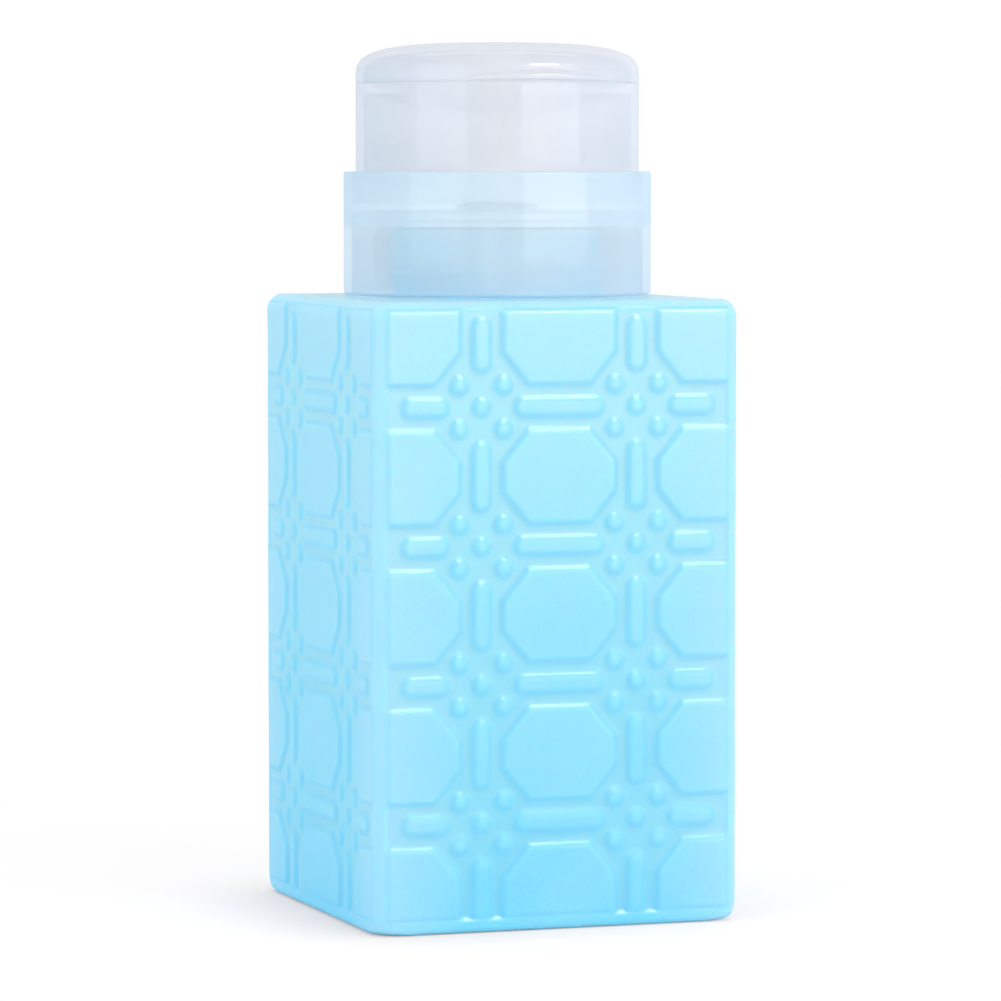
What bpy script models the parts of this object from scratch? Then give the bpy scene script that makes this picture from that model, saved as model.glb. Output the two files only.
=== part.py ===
# Nail polish remover pump: a square bottle with a moulded cane lattice, and a push-down
# dispenser with a screw collar, a press head with a pad dish, and a domed flip lid.
#
# Metres, +Z up. The origin is the middle of the base, the front face looks to -Y and the
# lid's hinge is at +Y. Each piece is one named object, and its parent empty stands on the
# axis that it moves about or along.

import math

import bmesh
import bpy
from mathutils import Matrix, Vector
from mathutils.geometry import delaunay_2d_cdt

# Clearances and shared edges
GAP = 0.0003                    # between pieces that touch
OVERRUN = 0.001                 # how far a cutter runs past what it cuts
EDGE = 0.0003                   # broken edge on mouldings

# Bottle
BODY_WIDTH = 0.056
BODY_DEPTH = 0.056
BODY_HEIGHT = 0.091
CORNER_RADIUS = 0.0026
SHOULDER_RADIUS = 0.0024
FOOT_RADIUS = 0.0012
FOOT_CORNER_RADIUS = 0.0065     # the upright corners round off more towards the base
FOOT_CORNER_HEIGHT = 0.0038
BODY_WALL = 0.0012
SHOULDER_WALL = 0.0015
INNER_CORNER_RADIUS = 0.0015
BASE_WALL = 0.0014
PUSH_UP_DEPTH = 0.0008
PUSH_UP_MARGIN = 0.006
NECK_RADIUS = 0.0155
NECK_WALL = 0.0016
NECK_HEIGHT = 0.0101

# Lattice relief on the four sides
RELIEF = 0.00045
RELIEF_OVERRUN = 0.0001         # how far the lattice's cutters run past the sides
DRAFT = 0.0008                  # from a pad's foot in to its crest
KEPT_SIDE_SHARE = 0.8           # of the inset that would close a pad's shortest side
PANEL_FOOT = 0.0020             # from the base up to the sunk panels
PANEL_GROOVE = 0.0004           # between the panel's edge and the pads cut by it
FRONT_PERIOD = 0.0237
SIDE_PERIOD = 0.027
ROW_PERIOD = 0.0200
TOP_ROW_DROP = 0.0152           # from the shoulder down to the top row of crossings
BAR_WIDTH = 0.0037
BAR_START = 0.0046              # from a crossing to the end of the bars around it
BAR_SIDE_MARGIN = 0.0037        # from a cut bar's end to the bottle's side
BAR_TOP_MARGIN = 0.0019         # from a cut bar's end to the shoulder
PAD_GROOVE = 0.0010             # between an octagon and the bars around it
PAD_CHAMFER_X = 0.0042
PAD_CHAMFER_Z = 0.0050
DOT_RADIUS = 0.0017
DOT_OFFSET_X = 0.00335
DOT_OFFSET_Z = 0.00315

# Screw collar
COLLAR_HEIGHT = 0.0182
COLLAR_WALL = 0.0012
HEAD_CLEARANCE = 0.0006         # around the press head inside the shroud
COLLAR_FOOT_RADIUS = 0.0011
DECK_THICKNESS = 0.0010
DECK_HOLE_CLEARANCE = 0.0003
THREAD_HEIGHT = 0.0012          # room for the screw thread between neck and sleeve
SLEEVE_WALL = 0.0014
SLEEVE_LIFT = 0.0008            # the sleeve ends this far above the shroud's foot

# Pump housing, gasket, chaplet and cage
GASKET_THICKNESS = 0.0007
GASKET_WIDTH = 0.0028
FLANGE_THICKNESS = 0.0010
CHAMBER_RADIUS = 0.0050
HOUSING_WALL = 0.0010
VENT_RADIUS = 0.0005
CHAPLET_DEPTH = 0.0052
CHAPLET_FLANGE_OVERLAP = 0.0022 # past the hole in the collar's deck
CHAPLET_FLANGE_THICKNESS = 0.0009
CHAPLET_BOSS_WALL = 0.0015
CHAPLET_BOSS_HEIGHT = 0.0006
CAGE_THICKNESS = 0.0020
CAGE_RECESS_DEPTH = 0.0008
CAGE_PORT_RADIUS = 0.0007
CAGE_PIN_RADIUS = 0.0010
CAGE_PIN_HEIGHT = 0.0015
INLET_BALL_RADIUS = 0.0020
INLET_BALL_TRAVEL = 0.0012
INLET_ORIFICE_RADIUS = 0.0012
VALVE_POCKET_CLEARANCE = 0.0006
SEAT_LAND = 0.0008
SOCKET_DEPTH = 0.0055
SOCKET_WALL = 0.0012
TUBE_RADIUS = 0.0020
TUBE_WALL = 0.0005
TUBE_FLOOR_CLEARANCE = 0.0015
TUBE_BEVEL = 0.0020

# Stem, piston, foot, spring and outlet ball
STEM_WALL = 0.0006              # around the outlet ball
STEM_BORE_RADIUS = 0.0012
STEM_FLANGE_RELIEF = 0.0008     # between the stem's flange and a sliding fit in the chamber
STEM_FLANGE_THICKNESS = 0.0010
STEM_PORT_RADIUS = 0.0006
PISTON_LENGTH = 0.0054
PISTON_LIP = 0.0012
PISTON_WAIST_DEPTH = 0.0007
FOOT_DISC_RELIEF = 0.0009       # between the foot's disc and a sliding fit in the chamber
FOOT_DISC_THICKNESS = 0.0012
FOOT_SPIGOT_HEIGHT = 0.0016
SPRING_LENGTH = 0.0114
WIRE_RADIUS = 0.0004
SPRING_TURNS = 7
OUTLET_BALL_RADIUS = 0.0013
OUTLET_BALL_TRAVEL = 0.0010
OUTLET_ORIFICE_RADIUS = 0.0008
OUTLET_POCKET_CLEARANCE = 0.0005

# Press head
PRESS_STROKE = 0.0036
HEAD_RADIUS = 0.0210
HEAD_RISE = 0.0129              # from the collar's top to the parting line
HEAD_WALL = 0.0012
RIM_WIDTH = 0.0009
RIM_HEIGHT = 0.0011
DISH_DEPTH = 0.0040             # from the parting line down to the middle of the dish
DISH_RISE = 0.0029
DISH_THICKNESS = 0.0012
HUB_WALL = 0.0016
SOCKET_ENGAGEMENT = 0.0053      # how far the stem goes into the hub
JET_RADIUS = 0.0009
RIB_THICKNESS = 0.0008
RIB_DEPTH = 0.0016
RIB_COUNT = 6
CAP_RADIUS = 0.0031
CAP_THICKNESS = 0.0010
CAP_SINK = 0.0006
CAP_HOLE_RADIUS = 0.0006
CAP_SPIGOT_RADIUS = 0.0013
CAP_SPIGOT_LENGTH = 0.0011
CAP_SLOT_WIDTH = 0.0006
CAP_SLOT_DEPTH = 0.0004

# Flip lid, hinge and seal
LID_HEIGHT = 0.0058
LID_WALL = 0.0012
CROWN_WALL = 0.0012
DOME_POWER_SHARE = 3.3          # exponent of the dome's rounded outline
POST_RADIUS = 0.0036
POST_BORE_RADIUS = 0.0026
SEAL_DISC_THICKNESS = 0.0012
SEAL_PLUG_LENGTH = 0.0030
LIP_HALF_ANGLE = math.radians(31.7)
LIP_HEIGHT = 0.0017
LIP_REACH = 0.0016
LIP_ROOT = 0.0006
LIP_STEPS = 12
HINGE_PIN_RADIUS = 0.0007
HINGE_BORE_CLEARANCE = 0.0002
KNUCKLE_WALL = 0.0007
KNUCKLE_LENGTH = 0.0080
LUG_THICKNESS = 0.0030
LUG_DROP = 0.0048
WEB_RISE = 0.0024

# Facets
FINE = 36
MEDIUM = 18
COARSE = 14
CORNER_STEPS = 3
ROUND_STEPS = 3
FOOT_CORNER_STEPS = 2
DISH_STEPS = 3
LID_STEPS = 6
LID_INNER_STEPS = 5
EYE_STEPS = 8
DOT_SIDES = 6
BAR_END_STEPS = 3
CURL_POINTS = 8
BALL_SIDES = 10
BALL_RINGS = 6
TUBE_SIDES = 12
HOLE_SIDES = 6
PIN_SIDES = 16

# Levels, from the base up
FLOOR_Z = PUSH_UP_DEPTH + BASE_WALL
NECK_TOP = BODY_HEIGHT + NECK_HEIGHT
GASKET_Z = NECK_TOP + GAP
FLANGE_Z = GASKET_Z + GASKET_THICKNESS + GAP
FLANGE_TOP = FLANGE_Z + FLANGE_THICKNESS
DECK_Z = FLANGE_TOP + GAP
DECK_TOP = DECK_Z + DECK_THICKNESS
COLLAR_Z = BODY_HEIGHT + GAP
COLLAR_TOP = COLLAR_Z + COLLAR_HEIGHT
CHAPLET_Z = DECK_TOP + GAP
CHAPLET_TOP = CHAPLET_Z + CHAPLET_FLANGE_THICKNESS + CHAPLET_BOSS_HEIGHT
PLUG_Z = DECK_TOP - CHAPLET_DEPTH

# Levels of what moves in the chamber, from the chaplet's plug down
STEM_FLANGE_TOP = PLUG_Z - GAP
PISTON_TOP = STEM_FLANGE_TOP - STEM_FLANGE_THICKNESS - GAP
PISTON_Z = PISTON_TOP - PISTON_LENGTH
FOOT_TOP = PISTON_Z - GAP
FOOT_Z = FOOT_TOP - FOOT_DISC_THICKNESS
SPRING_TOP = FOOT_Z - GAP
SPRING_Z = SPRING_TOP - SPRING_LENGTH
CAGE_TOP = SPRING_Z - GAP
CAGE_Z = CAGE_TOP - CAGE_THICKNESS
STEP_Z = CAGE_Z - GAP


def ball_over_cone(cone_radius, cone_z, ball_radius):
    """Height of a ball's middle that leaves one gap to a 45 degree seat."""
    return cone_z - cone_radius + math.sqrt(2) * (ball_radius + GAP)


INLET_POCKET_RADIUS = INLET_BALL_RADIUS + VALVE_POCKET_CLEARANCE
INLET_BALL_Z = CAGE_Z + CAGE_RECESS_DEPTH - GAP - INLET_BALL_TRAVEL - INLET_BALL_RADIUS
INLET_SEAT_Z = INLET_BALL_Z - ball_over_cone(INLET_ORIFICE_RADIUS, 0, INLET_BALL_RADIUS)
INLET_CONE_TOP = INLET_SEAT_Z + INLET_POCKET_RADIUS - INLET_ORIFICE_RADIUS
TUBE_STOP_Z = INLET_SEAT_Z - SEAT_LAND
HOUSING_Z = TUBE_STOP_Z - SOCKET_DEPTH

# Levels of the head, from the collar's top and the parting line
HEAD_TOP = COLLAR_TOP + HEAD_RISE
SKIRT_Z = DECK_TOP + GAP + PRESS_STROKE
HUB_Z = CHAPLET_TOP + GAP + PRESS_STROKE
SOCKET_TOP = HUB_Z + SOCKET_ENGAGEMENT + GAP
DISH_Z = HEAD_TOP - DISH_DEPTH
CAP_SEAT_Z = DISH_Z - CAP_SINK
CAP_Z = CAP_SEAT_Z + GAP
CAP_TOP = CAP_Z + CAP_THICKNESS
STEM_TOP = SOCKET_TOP - GAP
OUTLET_POCKET_RADIUS = OUTLET_BALL_RADIUS + OUTLET_POCKET_CLEARANCE
OUTLET_BALL_Z = STEM_TOP - OUTLET_BALL_TRAVEL - OUTLET_BALL_RADIUS
OUTLET_SEAT_Z = OUTLET_BALL_Z - ball_over_cone(OUTLET_ORIFICE_RADIUS, 0, OUTLET_BALL_RADIUS)
OUTLET_CONE_TOP = OUTLET_SEAT_Z + OUTLET_POCKET_RADIUS - OUTLET_ORIFICE_RADIUS
LID_Z = HEAD_TOP + GAP
LID_TOP = LID_Z + LID_HEIGHT
SEAL_Z = CAP_TOP + GAP
POST_Z = SEAL_Z + SEAL_DISC_THICKNESS + GAP

# Hinge, behind the head and in the parting line
HINGE_BORE_RADIUS = HINGE_PIN_RADIUS + HINGE_BORE_CLEARANCE
KNUCKLE_RADIUS = HINGE_BORE_RADIUS + KNUCKLE_WALL
HINGE_Y = HEAD_RADIUS + KNUCKLE_RADIUS + GAP
HINGE_Z = (HEAD_TOP + LID_Z) / 2

# Radii that follow from the pieces they fit
SHROUD_INNER_RADIUS = HEAD_RADIUS + HEAD_CLEARANCE
COLLAR_RADIUS = SHROUD_INNER_RADIUS + COLLAR_WALL
SLEEVE_INNER_RADIUS = NECK_RADIUS + THREAD_HEIGHT + GAP
SLEEVE_OUTER_RADIUS = SLEEVE_INNER_RADIUS + SLEEVE_WALL
HOUSING_RADIUS = CHAMBER_RADIUS + HOUSING_WALL
DECK_HOLE_RADIUS = HOUSING_RADIUS + DECK_HOLE_CLEARANCE
SOCKET_BORE_RADIUS = TUBE_RADIUS + GAP
SOCKET_RADIUS = SOCKET_BORE_RADIUS + SOCKET_WALL
CAGE_PORT_CIRCLE = CAGE_PIN_RADIUS + CAGE_PORT_RADIUS + GAP
CAGE_RECESS_RADIUS = CAGE_PORT_CIRCLE + CAGE_PORT_RADIUS + GAP
STEM_RADIUS = OUTLET_POCKET_RADIUS + STEM_WALL
GUIDE_RADIUS = STEM_RADIUS + GAP
SLIDING_RADIUS = CHAMBER_RADIUS - GAP
STEM_FLANGE_RADIUS = SLIDING_RADIUS - STEM_FLANGE_RELIEF
FOOT_DISC_RADIUS = SLIDING_RADIUS - FOOT_DISC_RELIEF
SPRING_RADIUS = FOOT_DISC_RADIUS - WIRE_RADIUS - GAP
CHAPLET_FLANGE_RADIUS = DECK_HOLE_RADIUS + CHAPLET_FLANGE_OVERLAP
CHAPLET_BOSS_RADIUS = GUIDE_RADIUS + CHAPLET_BOSS_WALL
SKIRT_INNER_RADIUS = HEAD_RADIUS - HEAD_WALL
HUB_RADIUS = GUIDE_RADIUS + HUB_WALL
LID_RADIUS = HEAD_RADIUS
RIM_RADIUS = LID_RADIUS - LID_WALL - 2 * GAP
RIM_INNER_RADIUS = RIM_RADIUS - RIM_WIDTH


# Scene, materials and objects

def clear_scene():
    """Remove whatever the open file holds."""
    for obj in list(bpy.data.objects):
        bpy.data.objects.remove(obj, do_unlink=True)


def make_material(name, colour, roughness, metallic=0.0, alpha=1.0):
    """A Principled material with one plain colour."""
    material = bpy.data.materials.new(name)
    material.use_nodes = True
    shader = material.node_tree.nodes["Principled BSDF"]
    shader.inputs["Base Color"].default_value = (*colour, 1.0)
    shader.inputs["Roughness"].default_value = roughness
    shader.inputs["Metallic"].default_value = metallic
    shader.inputs["Alpha"].default_value = alpha
    material.diffuse_color = (*colour, alpha)
    return material


def make_axis(name, location, parent=None):
    """An empty on a joint's axis, which carries the pieces that move with it."""
    axis = bpy.data.objects.new(name, None)
    axis.empty_display_size = HUB_RADIUS
    bpy.context.scene.collection.objects.link(axis)
    axis.parent = parent
    carried = parent.matrix_world.translation if parent else Vector()
    axis.location = Vector(location) - carried
    bpy.context.view_layer.update()
    return axis


def make_piece(name, bm, material, axis):
    """Turn a bmesh drawn in world places into a piece whose origin is on its axis."""
    bmesh.ops.recalc_face_normals(bm, faces=bm.faces)
    bm.transform(Matrix.Translation(-axis.matrix_world.translation))
    mesh = bpy.data.meshes.new(name)
    bm.to_mesh(mesh)
    bm.free()
    mesh.materials.append(material)
    mesh.shade_smooth()
    mesh.set_sharp_from_angle(angle=math.radians(35))
    piece = bpy.data.objects.new(name, mesh)
    piece.parent = axis
    bpy.context.scene.collection.objects.link(piece)
    return piece


def make_cutter(name, bm):
    """A shape that only cuts or joins other pieces."""
    bmesh.ops.recalc_face_normals(bm, faces=bm.faces)
    mesh = bpy.data.meshes.new(name)
    bm.to_mesh(mesh)
    bm.free()
    cutter = bpy.data.objects.new(name, mesh)
    cutter.hide_render = True
    cutter.display_type = "WIRE"
    bpy.context.scene.collection.objects.link(cutter)
    return cutter


def combine(piece, tool, operation):
    """Add a Boolean that cuts the tool from the piece or joins it on."""
    modifier = piece.modifiers.new(operation.lower() + "_" + tool.name, "BOOLEAN")
    modifier.operation = operation
    modifier.object = tool
    modifier.solver = "EXACT"


# Shapes

def arc(centre, radius, start, end, steps):
    """Points of an arc in the plane of a profile, angles in degrees."""
    points = []
    for step in range(steps + 1):
        angle = math.radians(start + (end - start) * step / steps)
        points.append((centre[0] + radius * math.cos(angle), centre[1] + radius * math.sin(angle)))
    return points


def turned(profile, steps):
    """Spin a profile of (radius, height) points round the Z axis."""
    bm = bmesh.new()
    verts = [bm.verts.new((radius, 0, height)) for radius, height in profile]
    edges = [bm.edges.new(pair) for pair in zip(verts, verts[1:])]
    if profile[0][0] > 0:
        edges.append(bm.edges.new((verts[-1], verts[0])))
    bmesh.ops.spin(bm, geom=verts + edges, cent=(0, 0, 0), axis=(0, 0, 1),
                   angle=math.tau, steps=steps, use_duplicate=False)
    bmesh.ops.remove_doubles(bm, verts=bm.verts, dist=EDGE / 100)
    return bm


def rod(radius, start, end, steps):
    """A closed round rod between two points."""
    start = Vector(start)
    end = Vector(end)
    turn = (end - start).to_track_quat("Z", "Y").to_matrix().to_4x4()
    place = Matrix.Translation((start + end) / 2) @ turn
    bm = bmesh.new()
    bmesh.ops.create_cone(bm, cap_ends=True, segments=steps, radius1=radius, radius2=radius,
                          depth=(end - start).length, matrix=place)
    return bm


def block(low, high):
    """A closed box between two corners."""
    low = Vector(low)
    high = Vector(high)
    place = Matrix.Translation((low + high) / 2) @ Matrix.Diagonal((*(high - low), 1))
    bm = bmesh.new()
    bmesh.ops.create_cube(bm, size=1, matrix=place)
    return bm


def slab(outline, start, end, to_world):
    """Extrude a flat outline from one depth to another, placed by a function."""
    bm = bmesh.new()
    near = [bm.verts.new(to_world(u, v, start)) for u, v in outline]
    far = [bm.verts.new(to_world(u, v, end)) for u, v in outline]
    bm.faces.new(near)
    bm.faces.new(reversed(far))
    for i in range(len(outline)):
        j = (i + 1) % len(outline)
        bm.faces.new((near[i], near[j], far[j], far[i]))
    return bm


def rounded_rectangle(width, depth, radius, z):
    """A level ring with round corners."""
    ring = []
    corners = ((1, 1, 0), (-1, 1, 90), (-1, -1, 180), (1, -1, 270))
    for side_x, side_y, start in corners:
        centre = (side_x * (width / 2 - radius), side_y * (depth / 2 - radius))
        for x, y in arc(centre, radius, start, start + 90, CORNER_STEPS):
            ring.append((x, y, z))
    return ring


def lofted(rings):
    """Skin rings of equal count and close both ends."""
    bm = bmesh.new()
    loops = [[bm.verts.new(point) for point in ring] for ring in rings]
    for low, high in zip(loops, loops[1:]):
        for i in range(len(low)):
            j = (i + 1) % len(low)
            bm.faces.new((low[i], low[j], high[j], high[i]))
    bm.faces.new(reversed(loops[0]))
    bm.faces.new(loops[-1])
    return bm


# Lattice relief

def inset_polygon(points, distance):
    """Move every side of a convex polygon inwards, less far where a short side would vanish."""
    count = len(points)
    corners = [Vector(point) for point in points]
    sides = [(corners[(i + 1) % count] - corners[i]) for i in range(count)]
    slants = [math.tan(abs(sides[i - 1].angle(sides[i])) / 2) for i in range(count)]
    limits = [sides[i].length / (slants[i] + slants[(i + 1) % count]) for i in range(count)]
    distance = min(distance, KEPT_SIDE_SHARE * min(limits))
    result = []
    for i in range(count):
        along_a = sides[i - 1].normalized()
        along_b = sides[i].normalized()
        bisector = Vector((-along_a.y - along_b.y, along_a.x + along_b.x))
        result.append(corners[i] + bisector * (distance / (1 + along_a.dot(along_b))))
    return [(point.x, point.y) for point in result]


def clip_polygon(points, low, high):
    """Cut a convex polygon to an upright rectangle."""
    for axis, limit, sign in ((0, low[0], 1), (0, high[0], -1), (1, low[1], 1), (1, high[1], -1)):
        kept = []
        for i in range(len(points)):
            here = points[i]
            after = points[(i + 1) % len(points)]
            inside = (here[axis] - limit) * sign >= 0
            inside_after = (after[axis] - limit) * sign >= 0
            if inside:
                kept.append(here)
            if inside != inside_after:
                share = (limit - here[axis]) / (after[axis] - here[axis])
                kept.append(tuple(a + (b - a) * share for a, b in zip(here, after)))
        points = kept
    spaced = []
    for i, point in enumerate(points):
        if math.dist(point, points[i - 1]) > EDGE:
            spaced.append(point)
    return spaced


def octagon(centre, half_width, half_height):
    """Octagonal pad outline, counter-clockwise."""
    cut_u = min(PAD_CHAMFER_X, half_width - EDGE)
    cut_v = min(PAD_CHAMFER_Z, half_height - EDGE)
    corners = []
    for side_u, side_v in ((1, 1), (-1, 1), (-1, -1), (1, -1)):
        pair = [(half_width, half_height - cut_v), (half_width - cut_u, half_height)]
        if side_u != side_v:
            pair.reverse()
        corners += [(centre[0] + side_u * u, centre[1] + side_v * v) for u, v in pair]
    return corners


def bar(start, end):
    """Bar outline with round ends, along U or V, counter-clockwise."""
    radius = BAR_WIDTH / 2
    if end[0] > start[0]:
        first = arc((end[0] - radius, end[1]), radius, -90, 90, BAR_END_STEPS)
        second = arc((start[0] + radius, start[1]), radius, 90, 270, BAR_END_STEPS)
    else:
        first = arc((end[0], end[1] - radius), radius, 0, 180, BAR_END_STEPS)
        second = arc((start[0], start[1] + radius), radius, 180, 360, BAR_END_STEPS)
    return first + second


def lattice_pads(period, half_width):
    """Outlines of the octagons, bars and dots of one face, about the face's middle line.

    The sunk panel runs out through the rounded corners and shoulder and stops above the foot."""
    low = (-half_width - OVERRUN, PANEL_FOOT)
    high = (half_width + OVERRUN, BODY_HEIGHT + OVERRUN)
    inner_low = (low[0] + PANEL_GROOVE, low[1] + PANEL_GROOVE)
    inner_high = (high[0] - PANEL_GROOVE, high[1] - PANEL_GROOVE)
    top_row = BODY_HEIGHT - TOP_ROW_DROP
    rows = []
    while top_row - len(rows) * ROW_PERIOD > low[1] + BAR_START:
        rows.append(top_row - len(rows) * ROW_PERIOD)
    columns = [-period / 2, period / 2]
    outlines = []
    dots = []
    clearance = BAR_WIDTH / 2 + PAD_GROOVE
    for u in (-period, 0, period):
        for row in range(len(rows) + 1):
            v = top_row + ROW_PERIOD / 2 - row * ROW_PERIOD
            reach = ROW_PERIOD / 2 - clearance
            if row in (0, len(rows)):
                v += ROW_PERIOD if row == 0 else -ROW_PERIOD
                reach += ROW_PERIOD
            outlines.append(octagon((u, v), period / 2 - clearance, reach))
    for v in rows:
        ends = [BAR_SIDE_MARGIN - half_width] + columns + [half_width - BAR_SIDE_MARGIN]
        for place, (left, right) in enumerate(zip(ends, ends[1:])):
            left += BAR_START if place > 0 else 0
            right -= BAR_START if place < len(columns) else 0
            if right - left > BAR_WIDTH:
                outlines.append(bar((left, v), (right, v)))
    for u in columns:
        ends = [low[1] - BAR_WIDTH] + rows[::-1] + [BODY_HEIGHT - BAR_TOP_MARGIN]
        for place, (bottom, top) in enumerate(zip(ends, ends[1:])):
            bottom += BAR_START if place > 0 else 0
            top -= BAR_START if place < len(rows) else 0
            if top - bottom > BAR_WIDTH:
                outlines.append(bar((u, bottom), (u, top)))
        for v in rows:
            dots.append((u, v))
            for side_u in (-1, 1):
                for side_v in (-1, 1):
                    dots.append((u + side_u * DOT_OFFSET_X, v + side_v * DOT_OFFSET_Z))
    pads = [clip_polygon(outline, inner_low, inner_high) for outline in outlines]
    return low, high, [outline for outline in pads if len(outline) > 2], dots


def fill_with_holes(bm, outlines, rings):
    """Triangles inside the first outline and outside all the others, which are convex."""
    points = [Vector(point) for outline in outlines for point in outline]
    verts = [vert for ring in rings for vert in ring]
    edges = []
    for outline in outlines:
        first = len(edges)
        count = len(outline)
        edges += [(first + i, first + (i + 1) % count) for i in range(count)]
    found, _, triangles, sources, _, _ = delaunay_2d_cdt(points, edges, [], 0, 0.0)
    for triangle in triangles:
        middle = sum((found[i] for i in triangle), Vector((0, 0))) / len(triangle)
        if not any(is_inside(middle, outline) for outline in outlines[1:]):
            bm.faces.new([verts[sources[i][0]] for i in triangle])


def is_inside(point, outline):
    """Whether a point lies in a convex polygon drawn counter-clockwise."""
    for start, end in zip(outline, outline[1:] + outline[:1]):
        if (end[0] - start[0]) * (point[1] - start[1]) < (end[1] - start[1]) * (point[0] - start[0]):
            return False
    return True


def lattice_cutter(name, period, half_width, to_world):
    """The sunk ground of one face: a thin slab with the pads left out of it."""
    low, high, pads, dots = lattice_pads(period, half_width)
    border = [low, (high[0], low[1]), high, (low[0], high[1])]
    bm = bmesh.new()

    def ring(points, height):
        return [bm.verts.new(to_world(u, v, height)) for u, v in points]

    def skirt(lower, upper):
        for i in range(len(lower)):
            j = (i + 1) % len(lower)
            bm.faces.new((lower[i], lower[j], upper[j], upper[i]))

    draft = DRAFT * (RELIEF + RELIEF_OVERRUN) / RELIEF
    feet = [border] + pads
    crests = [border] + [inset_polygon(outline, draft) for outline in pads]
    ground = [ring(outline, -RELIEF) for outline in feet]
    sky = [ring(outline, RELIEF_OVERRUN) for outline in crests]
    for lower, upper in zip(ground, sky):
        skirt(lower, upper)
    for centre in dots:
        foot = arc(centre, DOT_RADIUS, 0, 360, DOT_SIDES)[:-1]
        loop = ring(foot, -RELIEF)
        crest = bm.verts.new(to_world(*centre, 0))
        for i in range(DOT_SIDES):
            bm.faces.new((loop[i], loop[(i + 1) % DOT_SIDES], crest))
        ground.append(loop)
        feet.append(foot)
    fill_with_holes(bm, feet, ground)
    fill_with_holes(bm, crests, sky)
    return make_cutter(name, bm)


# Pieces

def corner_radius(height):
    """Radius of the upright corners, which grows towards the base."""
    share = max(1 - height / FOOT_CORNER_HEIGHT, 0)
    return CORNER_RADIUS + (FOOT_CORNER_RADIUS - CORNER_RADIUS) * (1 - math.sqrt(1 - share ** 2))


def build_bottle(material, axis):
    """Square bottle: lofted body, round neck, cavity, push-up and lattice relief."""
    rings = []
    for step in range(ROUND_STEPS + 1):
        angle = math.pi / 2 * step / ROUND_STEPS
        inset = FOOT_RADIUS * (1 - math.sin(angle))
        rings.append((inset, FOOT_RADIUS * (1 - math.cos(angle))))
    for step in range(1, FOOT_CORNER_STEPS + 1):
        rise = (FOOT_CORNER_HEIGHT - FOOT_RADIUS) * step / FOOT_CORNER_STEPS
        rings.append((0, FOOT_RADIUS + rise))
    for step in range(ROUND_STEPS + 1):
        angle = math.pi / 2 * step / ROUND_STEPS
        inset = SHOULDER_RADIUS * (1 - math.cos(angle))
        rings.append((inset, BODY_HEIGHT - SHOULDER_RADIUS * (1 - math.sin(angle))))
    body = lofted([rounded_rectangle(BODY_WIDTH - 2 * inset, BODY_DEPTH - 2 * inset,
                                     max(corner_radius(z) - inset, EDGE), z)
                   for inset, z in rings])
    bottle = make_piece("bottle", body, material, axis)

    neck = [(0, BODY_HEIGHT - SHOULDER_WALL / 2), (NECK_RADIUS, BODY_HEIGHT - SHOULDER_WALL / 2),
            (NECK_RADIUS, NECK_TOP - EDGE), (NECK_RADIUS - EDGE, NECK_TOP), (0, NECK_TOP)]
    combine(bottle, make_cutter("neck", turned(neck, FINE)), "UNION")

    inner = 2 * (RELIEF + BODY_WALL)
    cavity = [rounded_rectangle(BODY_WIDTH - inner, BODY_DEPTH - inner, INNER_CORNER_RADIUS, z)
              for z in (FLOOR_Z, BODY_HEIGHT - SHOULDER_WALL)]
    combine(bottle, make_cutter("cavity", lofted(cavity)), "DIFFERENCE")
    bore_radius = NECK_RADIUS - NECK_WALL
    bore = [(0, BODY_HEIGHT - SHOULDER_WALL - OVERRUN),
            (bore_radius, BODY_HEIGHT - SHOULDER_WALL - OVERRUN),
            (bore_radius, NECK_TOP + OVERRUN), (0, NECK_TOP + OVERRUN)]
    combine(bottle, make_cutter("neck_bore", turned(bore, FINE)), "DIFFERENCE")
    push_up = [rounded_rectangle(BODY_WIDTH - 2 * PUSH_UP_MARGIN, BODY_DEPTH - 2 * PUSH_UP_MARGIN,
                                 CORNER_RADIUS, z) for z in (-OVERRUN, PUSH_UP_DEPTH)]
    combine(bottle, make_cutter("push_up", lofted(push_up)), "DIFFERENCE")

    reach_x = BODY_WIDTH / 2
    reach_y = BODY_DEPTH / 2
    faces = (("front", FRONT_PERIOD, reach_x, lambda u, v, w: (u, -reach_y - w, v)),
             ("back", FRONT_PERIOD, reach_x, lambda u, v, w: (-u, reach_y + w, v)),
             ("left", SIDE_PERIOD, reach_y, lambda u, v, w: (-reach_x - w, -u, v)),
             ("right", SIDE_PERIOD, reach_y, lambda u, v, w: (reach_x + w, u, v)))
    for side, period, half_width, to_world in faces:
        cutter = lattice_cutter("lattice_" + side, period, half_width, to_world)
        combine(bottle, cutter, "DIFFERENCE")


def build_collar(material, axis):
    """Screw collar: outer shroud, deck with a hole, and the inner screw sleeve."""
    foot = (COLLAR_RADIUS - COLLAR_FOOT_RADIUS, COLLAR_Z + COLLAR_FOOT_RADIUS)
    profile = [(SHROUD_INNER_RADIUS, COLLAR_Z)]
    profile += arc(foot, COLLAR_FOOT_RADIUS, -90, 0, ROUND_STEPS)
    profile += [(COLLAR_RADIUS, COLLAR_TOP - EDGE), (COLLAR_RADIUS - EDGE, COLLAR_TOP),
                (SHROUD_INNER_RADIUS, COLLAR_TOP), (SHROUD_INNER_RADIUS, DECK_TOP),
                (DECK_HOLE_RADIUS, DECK_TOP), (DECK_HOLE_RADIUS, DECK_Z),
                (SLEEVE_INNER_RADIUS, DECK_Z), (SLEEVE_INNER_RADIUS, COLLAR_Z + SLEEVE_LIFT),
                (SLEEVE_OUTER_RADIUS, COLLAR_Z + SLEEVE_LIFT), (SLEEVE_OUTER_RADIUS, DECK_Z),
                (SHROUD_INNER_RADIUS, DECK_Z)]
    make_piece("screw_collar", turned(profile, FINE), material, axis)


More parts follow.
